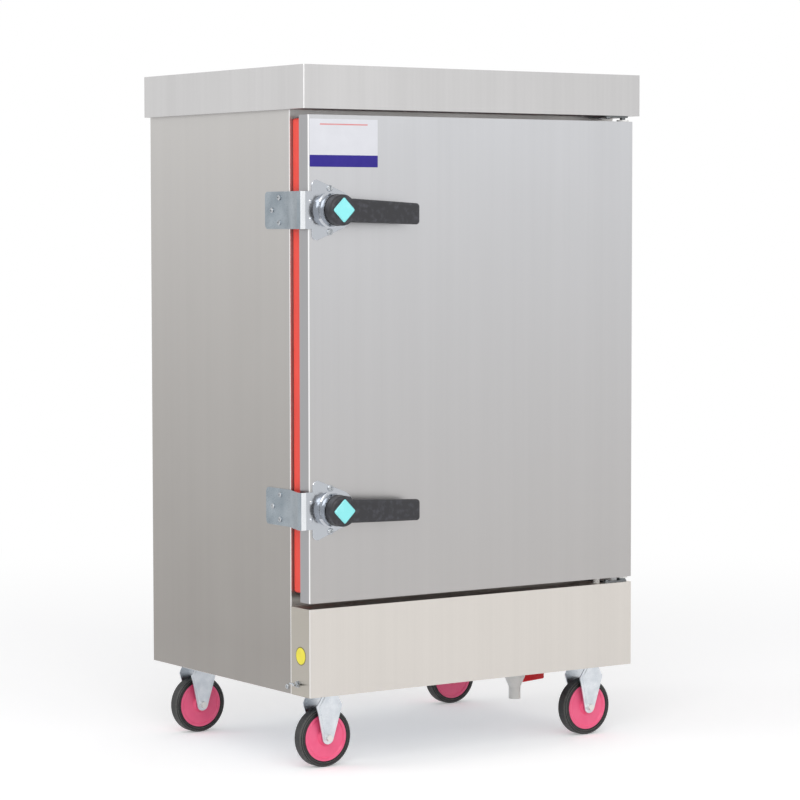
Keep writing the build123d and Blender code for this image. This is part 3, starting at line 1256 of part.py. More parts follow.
def make_all():
    """Every node of the cabinet by name."""
    nodes = {
        "left_side_panel": make_side_panel(-1),
        "right_side_panel": make_side_panel(1),
        "back_panel": make_back_panel(),
        "front_frame": make_front_frame(),
        "inner_liner": make_inner_liner(),
        "body_insulation": make_body_insulation(),
        "top_cover": make_top_cover(),
        "front_apron": make_front_apron(),
        "side_screws": make_side_screws(),
        "earth_stud": make_earth_stud(),
        "base_plate": make_base_plate(),
        "base_rails": grouped(make_base_rail(side) for side in (-1, 1)),
        "left_tray_rack": make_tray_rack(-1),
        "right_tray_rack": make_tray_rack(1),
        "water_tank": make_water_tank(),
        "heating_elements": make_heating_elements(),
        "steam_plate": make_steam_plate(),
        "float_valve": make_float_valve(),
        "float_arm": make_float_arm(),
        "water_inlet": make_water_inlet(),
        "vent_pipe": make_vent_pipe(),
        "cable_gland": make_cable_gland(),
        "drain_pipe": make_drain_pipe(),
        "drain_valve": make_valve_body(),
        "drain_lever": make_valve_lever(),
        "door_outer_skin": make_door_outer_skin(),
        "door_inner_skin": make_door_inner_skin(),
        "door_insulation": make_door_insulation(),
        "door_gasket": make_door_gasket(),
        "hinge_plates": grouped(make_hinge_plate(top) for top in (True, False)),
        "hinge_screws": make_hinge_screws(),
        "hinge_bushes": grouped(make_hinge_bush(top) for top in (True, False)),
        "door_rest_pad": make_door_rest_pad(),
        "caster_bolts": make_mount_bolts(),
    }
    latch_heights = (UPPER_LATCH_HEIGHT, LOWER_LATCH_HEIGHT)
    for name, height in zip(("upper", "lower"), latch_heights):
        nodes[f"{name}_latch_base"] = make_latch_base(height)
        nodes[f"{name}_latch_cam"] = make_latch_cam(height)
        nodes[f"{name}_latch_bolt"] = make_bolt_plate(height)
        nodes[f"{name}_latch_lever"] = make_lever(height)
        nodes[f"{name}_latch_badge"] = make_badge(height)
    nodes["keepers"] = grouped(make_keeper(height) for height in latch_heights)
    nodes["keeper_screws"] = grouped(make_keeper_screws(height) for height in latch_heights)
    nodes["latch_screws"] = grouped(make_latch_screws(height) for height in latch_heights)
    nodes["caster_axles"] = grouped(make_caster_axle(x, y) for _, x, y in caster_places())
    for name, x, y in caster_places():
        nodes[f"{name}_fork"] = make_caster_fork(x, y)
        nodes[f"{name}_wheel"] = make_wheel_hub(x, y)
        nodes[f"{name}_tyre"] = make_wheel_tyre(x, y)
    return nodes


def main():
    """Write one file for each node."""
    os.makedirs("parts", exist_ok=True)
    for name, shape in make_all().items():
        export_step(shape, f"parts/{name}.step")


main()
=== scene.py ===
"""Dress a stainless rice steamer cabinet and set it in a plain studio.

Lengths are in metres unless a name ends in mm. X runs to the right, Y to the
back and Z up, and the floor is Z = 0.
"""

import logging
import math
from dataclasses import dataclass
from enum import Enum
from typing import Iterable

import bmesh
import bpy
from mathutils import Matrix, Vector


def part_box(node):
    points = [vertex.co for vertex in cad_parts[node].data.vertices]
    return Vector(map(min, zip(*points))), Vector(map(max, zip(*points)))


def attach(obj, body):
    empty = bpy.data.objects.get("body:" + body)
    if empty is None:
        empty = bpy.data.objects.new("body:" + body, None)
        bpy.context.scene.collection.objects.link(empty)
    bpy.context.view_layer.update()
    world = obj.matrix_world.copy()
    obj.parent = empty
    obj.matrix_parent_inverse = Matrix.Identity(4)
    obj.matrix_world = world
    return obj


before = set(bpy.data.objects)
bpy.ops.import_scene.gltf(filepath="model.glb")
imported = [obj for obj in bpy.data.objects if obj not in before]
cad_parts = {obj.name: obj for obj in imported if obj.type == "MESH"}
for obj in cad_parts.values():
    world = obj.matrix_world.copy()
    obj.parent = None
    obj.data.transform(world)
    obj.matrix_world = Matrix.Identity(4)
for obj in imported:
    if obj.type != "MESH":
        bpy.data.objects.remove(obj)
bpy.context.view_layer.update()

LOG = logging.getLogger("steamer")
MM = 0.001
CABINET = "cabinet"
DOOR = "door"
LATCHES = ("upper", "lower")
CASTERS = ("front_left", "front_right", "rear_left", "rear_right")

Pair = tuple[float, float]
Triple = tuple[float, float, float]
Tree = bpy.types.NodeTree
Node = bpy.types.Node
Socket = bpy.types.NodeSocket

# The range that one noise mostly keeps to, and that of two noises added.
ONE_NOISE = (0.3, 0.7)
TWO_NOISES = (0.7, 1.3)
# The mix node's colours go by number, because its other inputs and outputs share their names.
MIX_FIRST, MIX_SECOND, MIX_RESULT = 6, 7, 2
# Points this near are one corner, and corners sharper than this are rounded.
SAME_CORNER = 0.01 * MM
SHARP_CORNER = math.radians(40)
ROUNDING_STEPS = 2
# A rounded edge takes the finish after the piece's own.
EDGE_SLOT = 1
# The bright core of a fold's painted highlight takes up this share of its width.
FOLD_CORE = 0.5
NARROW_FOLD_MM = 1.6
FILM_THICKNESS = 0.15 * MM


class Axis(Enum):
    """One of the object's own axes, by its place in a vector."""

    X = 0
    Y = 1
    Z = 2


@dataclass(frozen=True)
class Fold:
    """A folded corner of a sheet, along which a near white line is painted: a painted highlight."""

    point: Triple
    along: Axis = Axis.Z
    width_mm: float = 2.2


def linear(code: str) -> tuple[float, float, float, float]:
    """Turn an sRGB hex colour into linear light.

    Args:
        code: Six hex digits after a hash.

    Returns:
        Linear red, green, blue and a full alpha.
    """
    parts = [int(code[i:i + 2], 16) / 255 for i in (1, 3, 5)]
    curve = [c / 12.92 if c <= 0.04045 else ((c + 0.055) / 1.055) ** 2.4 for c in parts]
    return (curve[0], curve[1], curve[2], 1.0)


WHITE = linear("#ffffff")


def wire(node: Node, settings: dict | None = None, links: dict | None = None) -> Node:
    """Give a node its settings and links.

    Args:
        node: The node.
        settings: Values by attribute name, or by input name or number.
        links: What feeds each input, by its name or number. A node stands for its first output.

    Returns:
        The same node.
    """
    for key, value in (settings or {}).items():
        if isinstance(key, int) or key in node.inputs:
            node.inputs[key].default_value = value
        else:
            setattr(node, key, value)
    for key, source in (links or {}).items():
        socket = source.outputs[0] if isinstance(source, Node) else source
        node.id_data.links.new(socket, node.inputs[key])
    return node


def add_node(tree: Tree, kind: str, settings: dict | None = None, links: dict | None = None) -> Node:
    """Add one node of a kind, such as ShaderNodeTexNoise, with its settings and links."""
    return wire(tree.nodes.new(kind), settings, links)


def spread(source: Pair, result: Pair) -> dict[str, float]:
    """Return the settings that spread a source's range over a result's."""
    return {"From Min": source[0], "From Max": source[1], "To Min": result[0], "To Max": result[1]}


@dataclass(frozen=True)
class Pattern:
    """A noise of a real size: its blobs along X, Y and Z, and how many finer layers lie on it."""

    size_mm: Triple
    layers: float

    def drawn(self, tree: Tree) -> Socket:
        """Draw the pattern on the piece's own axes.

        Args:
            tree: The node tree.

        Returns:
            The pattern's value.
        """
        place = add_node(tree, "ShaderNodeTexCoord").outputs["Object"]
        scale = [1.0 / (size * MM) for size in self.size_mm]
        grid = add_node(tree, "ShaderNodeMapping", {"Scale": scale}, {"Vector": place})
        settings = {"Scale": 1.0, "Detail": self.layers}
        return add_node(tree, "ShaderNodeTexNoise", settings, {"Vector": grid}).outputs[0]


def even(size_mm: float, layers: float) -> Pattern:
    """Return a pattern whose blobs are as long one way as another."""
    return Pattern((size_mm, size_mm, size_mm), layers)


def leaning(tree: Tree, axis: Axis) -> Socket:
    """Say how far a face of the piece itself looks along an axis, wherever the piece has turned."""
    normal = add_node(tree, "ShaderNodeTexCoord").outputs["Normal"]
    return add_node(tree, "ShaderNodeSeparateXYZ", links={"Vector": normal}).outputs[axis.value]


def from_fold(tree: Tree, fold: Fold) -> Socket:
    """Say how far a point lies from a fold's line.

    Args:
        tree: The node tree.
        fold: The fold.

    Returns:
        The distance's socket.
    """
    across = [1.0, 1.0, 1.0]
    across[fold.along.value] = 0.0
    place = add_node(tree, "ShaderNodeTexCoord").outputs["Object"]
    settings = {"operation": "SUBTRACT", 1: fold.point}
    offset = add_node(tree, "ShaderNodeVectorMath", settings, {0: place})
    settings = {"operation": "MULTIPLY", 1: across}
    flat = add_node(tree, "ShaderNodeVectorMath", settings, {0: offset})
    return add_node(tree, "ShaderNodeVectorMath", {"operation": "LENGTH"}, {0: flat}).outputs["Value"]


def tinted(
    tree: Tree,
    value: Socket,
    source: Pair,
    first: str | Socket,
    second: str | Socket,
    most: float = 1.0,
) -> Socket:
    """Run from one colour to another as a value runs over a range.

    Args:
        tree: The node tree.
        value: The value, such as a pattern or a height.
        source: The value at the first colour, and that at the second.
        first: The first colour, as a hex code or a socket.
        second: The second colour.
        most: The share of the second colour at the range's end.

    Returns:
        The colour's socket.
    """
    amount = add_node(tree, "ShaderNodeMapRange", spread(source, (0.0, most)), {"Value": value})
    settings: dict = {"data_type": "RGBA"}
    links: dict = {"Factor": amount}
    for key, colour in ((MIX_FIRST, first), (MIX_SECOND, second)):
        if isinstance(colour, str):
            settings[key] = linear(colour)
        else:
            links[key] = colour
    return add_node(tree, "ShaderNodeMix", settings, links).outputs[MIX_RESULT]


def textured(
    shader: Node,
    gloss: Socket,
    rough: Pair,
    relief: Socket,
    depth_mm: float,
    strength: float,
    source: Pair = ONE_NOISE,
) -> None:
    """Let one pattern carry a shader's gloss, and the same or another its relief.

    Args:
        shader: The shader.
        gloss: The gloss's pattern.
        rough: The roughness where that pattern is low, and where it is high.
        relief: The relief's pattern.
        depth_mm: How deep the relief goes.
        strength: How much of it shows.
        source: The range that the gloss's pattern mostly keeps to.
    """
    tree = shader.id_data
    roughness = add_node(tree, "ShaderNodeMapRange", spread(source, rough), {"Value": gloss})
    settings = {"Strength": strength, "Distance": depth_mm * MM}
    normal = add_node(tree, "ShaderNodeBump", settings, {"Height": relief})
    wire(shader, links={"Roughness": roughness, "Normal": normal})


@dataclass(frozen=True)
class Finish:
    """A material that is made once and then shared by name.

    In every kind, glossier and duller say how far the roughness falls and rises
    around its middle. A relief's depth has a name such as wave_mm, and its
    strength says how much of it shows.
    """

    name: str

    def material(self) -> bpy.types.Material:
        """Find the Blender material, or make it the first time.

        Returns:
            The material.
        """
        found = bpy.data.materials.get(self.name)
        if found:
            return found
        made = bpy.data.materials.new(self.name)
        made.use_nodes = True
        tree = made.node_tree
        tree.nodes.clear()
        shader = add_node(tree, "ShaderNodeBsdfPrincipled")
        add_node(tree, "ShaderNodeOutputMaterial", links={"Surface": shader})
        self.surface(tree, shader)
        return made

    def surface(self, tree: Tree, shader: Node) -> None:
        """Set the shader's sockets; each kind of finish has its own."""
        raise NotImplementedError


@dataclass(frozen=True)
class BrushedStainless(Finish):
    """Stainless steel sheet, belt brushed: a soft streaked sheen that spreads across the grain.

    Attributes:
        high: The tone at the upper end of the span, set lighter: painted light from above.
        low: The tone at its lower end, set darker: painted shade.
        span: The heights between which the tone runs.
        grain: The axis that the brush ran along.
        grain_mm: The width of a brush line.
        run_mm: Its length.
        roughness: The middle of the roughness.
        streak: How far the streaks lift and lower the tone.
        groove: How much of the brush lines' relief shows.
        stretch: How far the gloss spreads across the grain.
        painted_side_shade: The darker tone painted on the returns at the sides as painted shade,
            where they have one.
        folds: The folded corners that get a painted highlight.
        painted_fold_highlight: The near white tone painted along those corners, a painted highlight.
        band_lines: How many brush lines wide the slow bands are.
        painted_shade_turn: How far a face looks to a side where the painted shade starts, and where
            it is full.
    """

    high: str = "#c4c5c8"
    low: str = "#b4b1ae"
    span: Pair = (0.2, 1.15)
    grain: Axis = Axis.Z
    grain_mm: float = 3.0
    run_mm: float = 420.0
    roughness: float = 0.34
    streak: float = 0.018
    groove: float = 0.5
    stretch: float = 0.55
    painted_side_shade: str = ""
    folds: tuple[Fold, ...] = ()
    painted_fold_highlight: str = "#f8f8f8"
    band_lines: float = 8.0
    cloud_mm: float = 160.0
    painted_shade_turn: Pair = (0.54, 0.9)
    glossier: float = 0.05
    duller: float = 0.06
    groove_mm: float = 0.02

    def surface(self, tree: Tree, shader: Node) -> None:
        """Streak the sheet's colour and gloss along the grain.

        Args:
            tree: The material's node tree.
            shader: Its shader.
        """
        size = [self.grain_mm] * 3
        size[self.grain.value] = self.run_mm
        # Real brush lines are about 0.1 mm wide; they are drawn broader so that they show.
        lines = Pattern(tuple(size), layers=5.0).drawn(tree)
        bands = Pattern(tuple(self.band_lines * s for s in size), layers=2.0).drawn(tree)
        cloud = even(self.cloud_mm, layers=2.0).drawn(tree)
        place = add_node(tree, "ShaderNodeTexCoord").outputs["Object"]
        height = add_node(tree, "ShaderNodeSeparateXYZ", links={"Vector": place}).outputs["Z"]
        # The tone runs lighter towards the top: painted light from above, and painted shade lower
        # down.
        tone = tinted(tree, height, self.span, self.low, self.high)
        both = add_node(tree, "ShaderNodeMath", {"operation": "ADD"}, {0: lines, 1: bands})
        lift = spread(TWO_NOISES, (1 - self.streak, 1 + self.streak))
        value = add_node(tree, "ShaderNodeMapRange", lift, {"Value": both})
        streaked = add_node(tree, "ShaderNodeHueSaturation", links={"Color": tone, "Value": value})
        colour = streaked.outputs[0]
        if self.painted_side_shade:
            # Faces that look to the sides are set darker: painted shade on the narrow returns.
            start, full = self.painted_shade_turn
            for side in (-1, 1):
                turned = (side * start, side * full)
                colour = tinted(tree, leaning(tree, Axis.X), turned, colour, self.painted_side_shade)
        # A near white line is painted along each fold: a painted highlight.
        for fold in self.folds:
            reach = (fold.width_mm * MM, FOLD_CORE * fold.width_mm * MM)
            colour = tinted(tree, from_fold(tree, fold), reach, colour, self.painted_fold_highlight)
        gloss = add_node(tree, "ShaderNodeMath", {"operation": "ADD"}, {0: lines, 1: cloud})
        rough = (self.roughness - self.glossier, self.roughness + self.duller)
        textured(shader, gloss, rough, lines, self.groove_mm, self.groove, TWO_NOISES)
        settings = {"direction_type": "RADIAL", "axis": Axis.Z.name}
        tangent = add_node(tree, "ShaderNodeTangent", settings)
        values = {"Metallic": 1.0, "Anisotropic": self.stretch}
        wire(shader, values, {"Base Color": colour, "Tangent": tangent})


@dataclass(frozen=True)
class ZincPlated(Finish):
    """Pressed steel, zinc plated: a cold pale metal with soft clouds from the passivation."""

    pale: str = "#e4e8ec"
    deep: str = "#ccd2d8"
    cloud_mm: float = 18.0
    roughness: float = 0.32
    # The near white tone painted on faces that look to the front: painted light.
    painted_front_light: str = ""
    painted_light_turn: Pair = (-0.5, -0.9)
    rolled: Pattern = even(1.2, layers=4.0)
    rolled_mm: float = 0.02
    rolled_strength: float = 0.4
    glossier: float = 0.06
    duller: float = 0.08

    def surface(self, tree: Tree, shader: Node) -> None:
        """Cloud the metal softly and give it a fine rolled texture.

        Args:
            tree: The material's node tree.
            shader: Its shader.
        """
        # Rolled steel is rough at about 0.1 mm; that is drawn ten times coarser so that it shows.
        rolled = self.rolled.drawn(tree)
        cloud = even(self.cloud_mm, layers=3.0).drawn(tree)
        colour = tinted(tree, cloud, ONE_NOISE, self.pale, self.deep)
        if self.painted_front_light:
            # Faces that look to the front are set near white: painted light on the front lip.
            colour = tinted(tree, leaning(tree, Axis.Y), self.painted_light_turn, colour, self.painted_front_light)
        rough = (self.roughness - self.glossier, self.roughness + self.duller)
        textured(shader, rolled, rough, rolled, self.rolled_mm, self.rolled_strength)
        wire(shader, {"Metallic": 1.0}, {"Base Color": colour})


@dataclass(frozen=True)
class PolishedChrome(Finish):
    """Steel, nickel and chrome plated and buffed: a mirror with the faint waves of the pressing."""

    tint: str = "#d6d9dc"
    roughness: float = 0.09
    duller: float = 0.1
    wave: Pattern = even(14.0, layers=1.0)
    wave_mm: float = 0.25
    wave_strength: float = 0.35
    wipe: Pattern = Pattern((5.0, 5.0, 1.5), layers=4.0)

    def surface(self, tree: Tree, shader: Node) -> None:
        """Keep the mirror clear, with slow waves and light wipe marks.

        Args:
            tree: The material's node tree.
            shader: Its shader.
        """
        wave = self.wave.drawn(tree)
        # A cloth's threads leave marks finer than these, which are drawn so that they show.
        wipe = self.wipe.drawn(tree)
        rough = (self.roughness, self.roughness + self.duller)
        textured(shader, wipe, rough, wave, self.wave_mm, self.wave_strength)
        wire(shader, {"Base Color": linear(self.tint), "Metallic": 1.0})


@dataclass(frozen=True)
class Moulded(Finish):
    """Injection moulded plastic: one hue with flow clouds, a spark eroded texture and light scuffs.

    Attributes:
        base: The plastic's own colour.
        worn: The colour of its clouds and scuffs.
        roughness: The middle of the roughness.
        cloud_mm: The size of a cloud.
        pit_mm: The width of a pit.
        pit_depth_mm: Its depth.
        wear: The cloud's value where the worn colour starts, and where it is full.
        coat: How much clear lacquer lies on it.
    """

    base: str
    worn: str
    roughness: float = 0.45
    cloud_mm: float = 12.0
    pit_mm: float = 0.9
    pit_depth_mm: float = 0.03
    wear: Pair = (0.55, 0.8)
    coat: float = 0.0
    pit_strength: float = 0.6
    glossier: float = 0.05
    duller: float = 0.07

    def surface(self, tree: Tree, shader: Node) -> None:
        """Cloud and scuff the colour, and pit the surface.

        Args:
            tree: The material's node tree.
            shader: Its shader.
        """
        cloud = even(self.cloud_mm, layers=6.0).drawn(tree)
        # Spark eroded pits are about 0.1 mm wide; they are drawn about ten times broader.
        pits = even(self.pit_mm, layers=3.0).drawn(tree)
        colour = tinted(tree, cloud, self.wear, self.base, self.worn)
        rough = (self.roughness - self.glossier, self.roughness + self.duller)
        textured(shader, pits, rough, pits, self.pit_depth_mm, self.pit_strength)
        wire(shader, {"Coat Weight": self.coat}, {"Base Color": colour})


@dataclass(frozen=True)
class ExtrudedSilicone(Finish):
    """Silicone rubber, extruded: a soft saturated body with long clouds along the extrusion."""

    base: str = "#f9402e"
    deep: str = "#ee3826"
    rough: Pair = (0.42, 0.58)
    sheen: float = 0.15
    cloud: Pattern = Pattern((20.0, 20.0, 90.0), layers=3.0)
    dust: Pattern = even(1.5, layers=4.0)
    dust_mm: float = 0.03
    dust_strength: float = 0.4

    def surface(self, tree: Tree, shader: Node) -> None:
        """Deepen the colour in long soft clouds and keep a satin skin.

        Args:
            tree: The material's node tree.
            shader: Its shader.
        """
        cloud = self.cloud.drawn(tree)
        # Dust and flour lie in finer specks than these, which are drawn so that they show.
        dust = self.dust.drawn(tree)
        colour = tinted(tree, cloud, ONE_NOISE, self.base, self.deep)
        textured(shader, dust, self.rough, dust, self.dust_mm, self.dust_strength)
        wire(shader, {"Sheen Weight": self.sheen}, {"Base Color": colour})


@dataclass(frozen=True)
class MineralWool(Finish):
    """Mineral wool, needled into a slab: matted yellow fibres."""

    pale: str = "#d9c68a"
    deep: str = "#a08a4e"
    roughness: float = 0.95
    tuft: Pattern = Pattern((9.0, 3.0, 2.0), layers=8.0)
    tuft_mm: float = 1.5

    def surface(self, tree: Tree, shader: Node) -> None:
        """Mat the fibres in colour and depth.

        Args:
            tree: The material's node tree.
            shader: Its shader.
        """
        # One fibre is thinner than a hair, so tufts of them are drawn.
        tuft = self.tuft.drawn(tree)
        colour = tinted(tree, tuft, ONE_NOISE, self.deep, self.pale)
        settings = {"Strength": 1.0, "Distance": self.tuft_mm * MM}
        normal = add_node(tree, "ShaderNodeBump", settings, {"Height": tuft})
        wire(shader, {"Roughness": self.roughness}, {"Base Color": colour, "Normal": normal})


@dataclass(frozen=True)
class TurnedMetal(Finish):
    """Metal turned on a lathe or drawn: fine rings and a warm or cool tint."""

    tint: str = "#c9a45c"
    stain: str = "#9c7a3c"
    roughness: float = 0.25
    most_stain: float = 0.8
    stain_cloud: Pattern = even(11.0, layers=4.0)
    rings: Pattern = Pattern((6.0, 0.7, 6.0), layers=3.0)
    rings_mm: float = 0.03
    rings_strength: float = 0.5
    glossier: float = 0.06
    duller: float = 0.08

    def surface(self, tree: Tree, shader: Node) -> None:
        """Ring the surface finely and stain it a little.

        Args:
            tree: The material's node tree.
            shader: Its shader.
        """
        # A lathe's rings lie about 0.1 mm apart; they are drawn coarser so that they show.
        rings = self.rings.drawn(tree)
        cloud = self.stain_cloud.drawn(tree)
        colour = tinted(tree, cloud, ONE_NOISE, self.tint, self.stain, self.most_stain)
        rough = (self.roughness - self.glossier, self.roughness + self.duller)
        textured(shader, rings, rough, rings, self.rings_mm, self.rings_strength)
        wire(shader, {"Metallic": 1.0}, {"Base Color": colour})


@dataclass(frozen=True)
class PrintedVinyl(Finish):
    """Vinyl film, screen printed and stuck down: an even ink with a faint ripple of the glue."""

    ink: str
    faded: str
    roughness: float = 0.3
    duller: float = 0.1
    fade: Pattern = even(22.0, layers=4.0)
    ripple: Pattern = even(7.0, layers=2.0)
    ripple_mm: float = 0.06
    ripple_strength: float = 0.3

    def surface(self, tree: Tree, shader: Node) -> None:
        """Fade the ink in patches and ripple the film.

        Args:
            tree: The material's node tree.
            shader: Its shader.
        """
        fade = self.fade.drawn(tree)
        ripple = self.ripple.drawn(tree)
        colour = tinted(tree, fade, ONE_NOISE, self.ink, self.faded)
        rough = (self.roughness, self.roughness + self.duller)
        textured(shader, ripple, rough, ripple, self.ripple_mm, self.ripple_strength)
        wire(shader, links={"Base Color": colour})


def upright_folds(xs: Iterable[float], ys: Iterable[float], width_mm: float) -> tuple[Fold, ...]:
    """Return the upright folds at every place across and in depth."""
    return tuple(Fold((x, y, 0.0), width_mm=width_mm) for x in xs for y in ys)


BODY_LOW, BODY_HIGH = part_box("left_side_panel")[0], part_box("right_side_panel")[1]
COVER_LOW, COVER_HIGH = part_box("top_cover")
DOOR_LOW, DOOR_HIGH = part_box("door_outer_skin")
APRON_LOW, APRON_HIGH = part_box("front_apron")

# Brushed sheet shows upright streaks in a broad soft sheen, and a painted highlight down each fold.
# The side sheet is set darker than the door's sheet: painted shade on the side.
SIDE_SHEET = BrushedStainless(
    "stainless_steel_brushed_side",
    high="#c2c0be",
    low="#a09c98",
    roughness=0.4,
    folds=upright_folds((BODY_LOW.x, BODY_HIGH.x), (BODY_LOW.y, BODY_HIGH.y), Fold.width_mm),
)
# Round-about tangents would make the level sheets look spun, so their gloss isn't stretched.
COVER_SHEET = BrushedStainless(
    "stainless_steel_brushed_cover",
    high="#c8c7c7",
    low="#c4c2c0",
    grain_mm=7.0,
    roughness=0.4,
    streak=0.035,
    stretch=0.0,
    folds=upright_folds((COVER_LOW.x, COVER_HIGH.x), (COVER_LOW.y,), NARROW_FOLD_MM),
)
DOOR_SHEET = BrushedStainless(
    "stainless_steel_brushed_door",
    high="#c9cacd",
    low="#b6b3b1",
    roughness=0.36,
    painted_side_shade="#a6a6a8",
    folds=upright_folds((DOOR_LOW.x, DOOR_HIGH.x), (DOOR_LOW.y,), Fold.width_mm),
)
# The apron takes its light from the floor, so it looks paler and warmer than the door.
APRON_SHEET = BrushedStainless(
    "stainless_steel_brushed_apron",
    high="#d8d3cd",
    low="#d5d0ca",
    span=(0.13, 0.29),
    painted_side_shade="#b4afa6",
    folds=upright_folds((APRON_LOW.x, APRON_HIGH.x), (APRON_LOW.y,), NARROW_FOLD_MM),
)
BACK_SHEET = BrushedStainless(
    "stainless_steel_brushed_back",
    high="#bcbbba",
    low="#a9a6a3",
    roughness=0.4,
)
# Sheet as the mill left it is smoother and duller, with hardly a line in it.
LINER_SHEET = BrushedStainless(
    "stainless_steel_mill_finish",
    high="#c9cacb",
    low="#c1c0be",
    roughness=0.42,
    groove=0.12,
    stretch=0.0,
)
# A folded edge is set near white and glossier: a painted highlight, a thin line of light along the
# fold.
EDGE_HIGHLIGHT_STEEL = BrushedStainless(
    "stainless_steel_edge_painted_highlight",
    high="#f6f6f6",
    low="#efece9",
    roughness=0.24,
    grain_mm=2.0,
)

# Zinc gives a cold pale metal, cloudy where it is broad, and where a keeper faces the front it is set
# near white: painted light.
GALVANISED = ZincPlated("steel_galvanised_pressed")
ZINC_FITTING = ZincPlated(
    "steel_zinc_plated_keeper",
    pale="#9ea7ae",
    deep="#88929a",
    cloud_mm=30.0,
    roughness=0.3,
    painted_front_light="#e9ecef",
)
# The hinge plates are set dark grey: painted shade, for the shadow they sit in.
HINGE_SHADE_STEEL = ZincPlated(
    "steel_zinc_plated_hinge_painted_shade",
    pale="#85888a",
    deep="#6e7173",
    cloud_mm=20.0,
    roughness=0.36,
)
# The rounded edges of the keepers and forks are set near white: a painted highlight.
ZINC_EDGE_HIGHLIGHT = ZincPlated(
    "steel_zinc_plated_edge_painted_highlight",
    pale="#f4f6f8",
    deep="#e6eaee",
    cloud_mm=30.0,
    roughness=0.24,
)
SCREW_STEEL = ZincPlated(
    "steel_zinc_plated_screw",
    pale="#d6d9dc",
    deep="#8c9196",
    cloud_mm=3.0,
    roughness=0.25,
)

# Chrome over a pressing mirrors the room in slow waves, and its rounded rim is set near white: a
# painted highlight.
CHROME = PolishedChrome("steel_chrome_plated_polished", tint="#bcc0c6")
CHROME_RIM_HIGHLIGHT = PolishedChrome("steel_chrome_plated_rim_painted_highlight", tint="#f6f8fa", roughness=0.14)

# Turned and drawn metal keeps fine rings, dull on the steel and golden on the brass.
CAM_STEEL = TurnedMetal("steel_turned_cam", tint="#a8a9ab", stain="#85868a", roughness=0.3)
BRASS = TurnedMetal("brass_turned")
TUBE_STEEL = TurnedMetal(
    "stainless_steel_drawn_tube",
    tint="#8f8c85",
    stain="#6d665c",
    roughness=0.34,
)

# Glass filled nylon is a near black with pale fibres that float up and scuff.
LEVER_NYLON = Moulded(
    "nylon_glass_filled_moulded",
    base="#28282c",
    worn="#46464e",
    roughness=0.4,
    cloud_mm=9.0,
    pit_mm=1.2,
    pit_depth_mm=0.02,
    wear=(0.5, 0.8),
)
# Lacquer over bright plastic gives the badge a clear wet gloss.
BADGE_ABS = Moulded(
    "abs_lacquered_cyan",
    base="#8deef0",
    worn="#a4f6f8",
    roughness=0.16,
    cloud_mm=30.0,
    coat=0.6,
)
# The gasket is the one strong red line round the door: soft, even and satin.
GASKET = ExtrudedSilicone("silicone_rubber_extruded")
WHITE_NYLON = Moulded("nylon_moulded_white", base="#fbfaf8", worn="#f0eee9")
# The casters pair a smooth, faintly glossy hub with a matt tyre, paler grey along its rounded step.
HUB_PLASTIC = Moulded(
    "polypropylene_moulded_pink",
    base="#ff6a94",
    worn="#fb5f8c",
    roughness=0.34,
    cloud_mm=26.0,
    pit_mm=1.6,
    pit_depth_mm=0.02,
    wear=(0.4, 0.7),
)
TYRE_RUBBER = Moulded(
    "thermoplastic_rubber_moulded",
    base="#1d1e1f",
    worn="#343434",
    roughness=0.5,
    cloud_mm=20.0,
    pit_mm=1.0,
    pit_depth_mm=0.05,
    wear=(0.5, 0.8),
)
TYRE_PALE_STEP = Moulded(
    "thermoplastic_rubber_pale_step",
    base="#6e6e6a",
    worn="#484846",
    roughness=0.6,
    cloud_mm=8.0,
    pit_mm=1.0,
    pit_depth_mm=0.05,
    wear=(0.5, 0.8),
)
# The tap's plastics are plain: a pale satin valve and a red lever that shines a little.
VALVE_PVC = Moulded(
    "pvc_moulded_pale",
    base="#eceae6",
    worn="#dddbd6",
    roughness=0.4,
    cloud_mm=18.0,
)
VALVE_ABS = Moulded(
    "abs_moulded_red",
    base="#e2161f",
    worn="#ea2a32",
    roughness=0.36,
    cloud_mm=10.0,
    coat=0.2,
)
GLAND_NYLON = Moulded("nylon_moulded_black", base="#161617", worn="#2b2b2d", roughness=0.4)
FLOAT_PLASTIC = Moulded("polypropylene_moulded_natural", base="#dddbd0", worn="#c9c6b8")
WOOL = MineralWool("mineral_wool_needled")

# Printed film is a flat even ink that the glue under it ripples just enough to catch light.
FILM_CLEAR = PrintedVinyl("vinyl_film_pale", ink="#dcdde3", faded="#d8d9df", roughness=0.36)
FILM_BLUE = PrintedVinyl(
    "vinyl_film_printed_blue",
    ink="#1c0682",
    faded="#220c88",
    roughness=0.5,
)
FILM_RED = PrintedVinyl("vinyl_film_printed_red", ink="#d98a8c", faded="#dd9a9a")
FILM_YELLOW = PrintedVinyl("vinyl_film_printed_yellow", ink="#fdf03c", faded="#f6e83a")
FILM_RING = PrintedVinyl("vinyl_film_printed_olive", ink="#6a6224", faded="#787032")


def dress(finish: Finish, *nodes: str) -> None:
    """Give nodes of the frame their finish.

    Args:
        finish: The finish that they take.
        nodes: The nodes' names.
    """
    for node in nodes:
        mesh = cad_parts[node].data
        mesh.materials.clear()
        mesh.materials.append(finish.material())
        LOG.info("%s is %s", node, finish.name)


def soften(node: str, width_mm: float, edge: Finish) -> None:
    """Round a node's sharp edges, so that they catch a line of light as folded sheet does.

    Args:
        node: The node's name.
        width_mm: The width of the rounding.
        edge: The finish of the rounding itself, paler than the piece's own; on the metal sheets and
            fittings it is a painted highlight.
    """
    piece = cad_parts[node]
    weld = piece.modifiers.new("weld", "WELD")
    weld.merge_threshold = SAME_CORNER
    bevel = piece.modifiers.new("soft_edges", "BEVEL")
    bevel.width = width_mm * MM
    bevel.segments = ROUNDING_STEPS
    bevel.limit_method = "ANGLE"
    bevel.angle_limit = SHARP_CORNER
    # A corner that slides along its edges leaves a dark line across a broad sheet.
    bevel.loop_slide = False
    piece.data.materials.append(edge.material())
    bevel.material = EDGE_SLOT
    normals = piece.modifiers.new("normals", "WEIGHTED_NORMAL")
    normals.keep_sharp = False


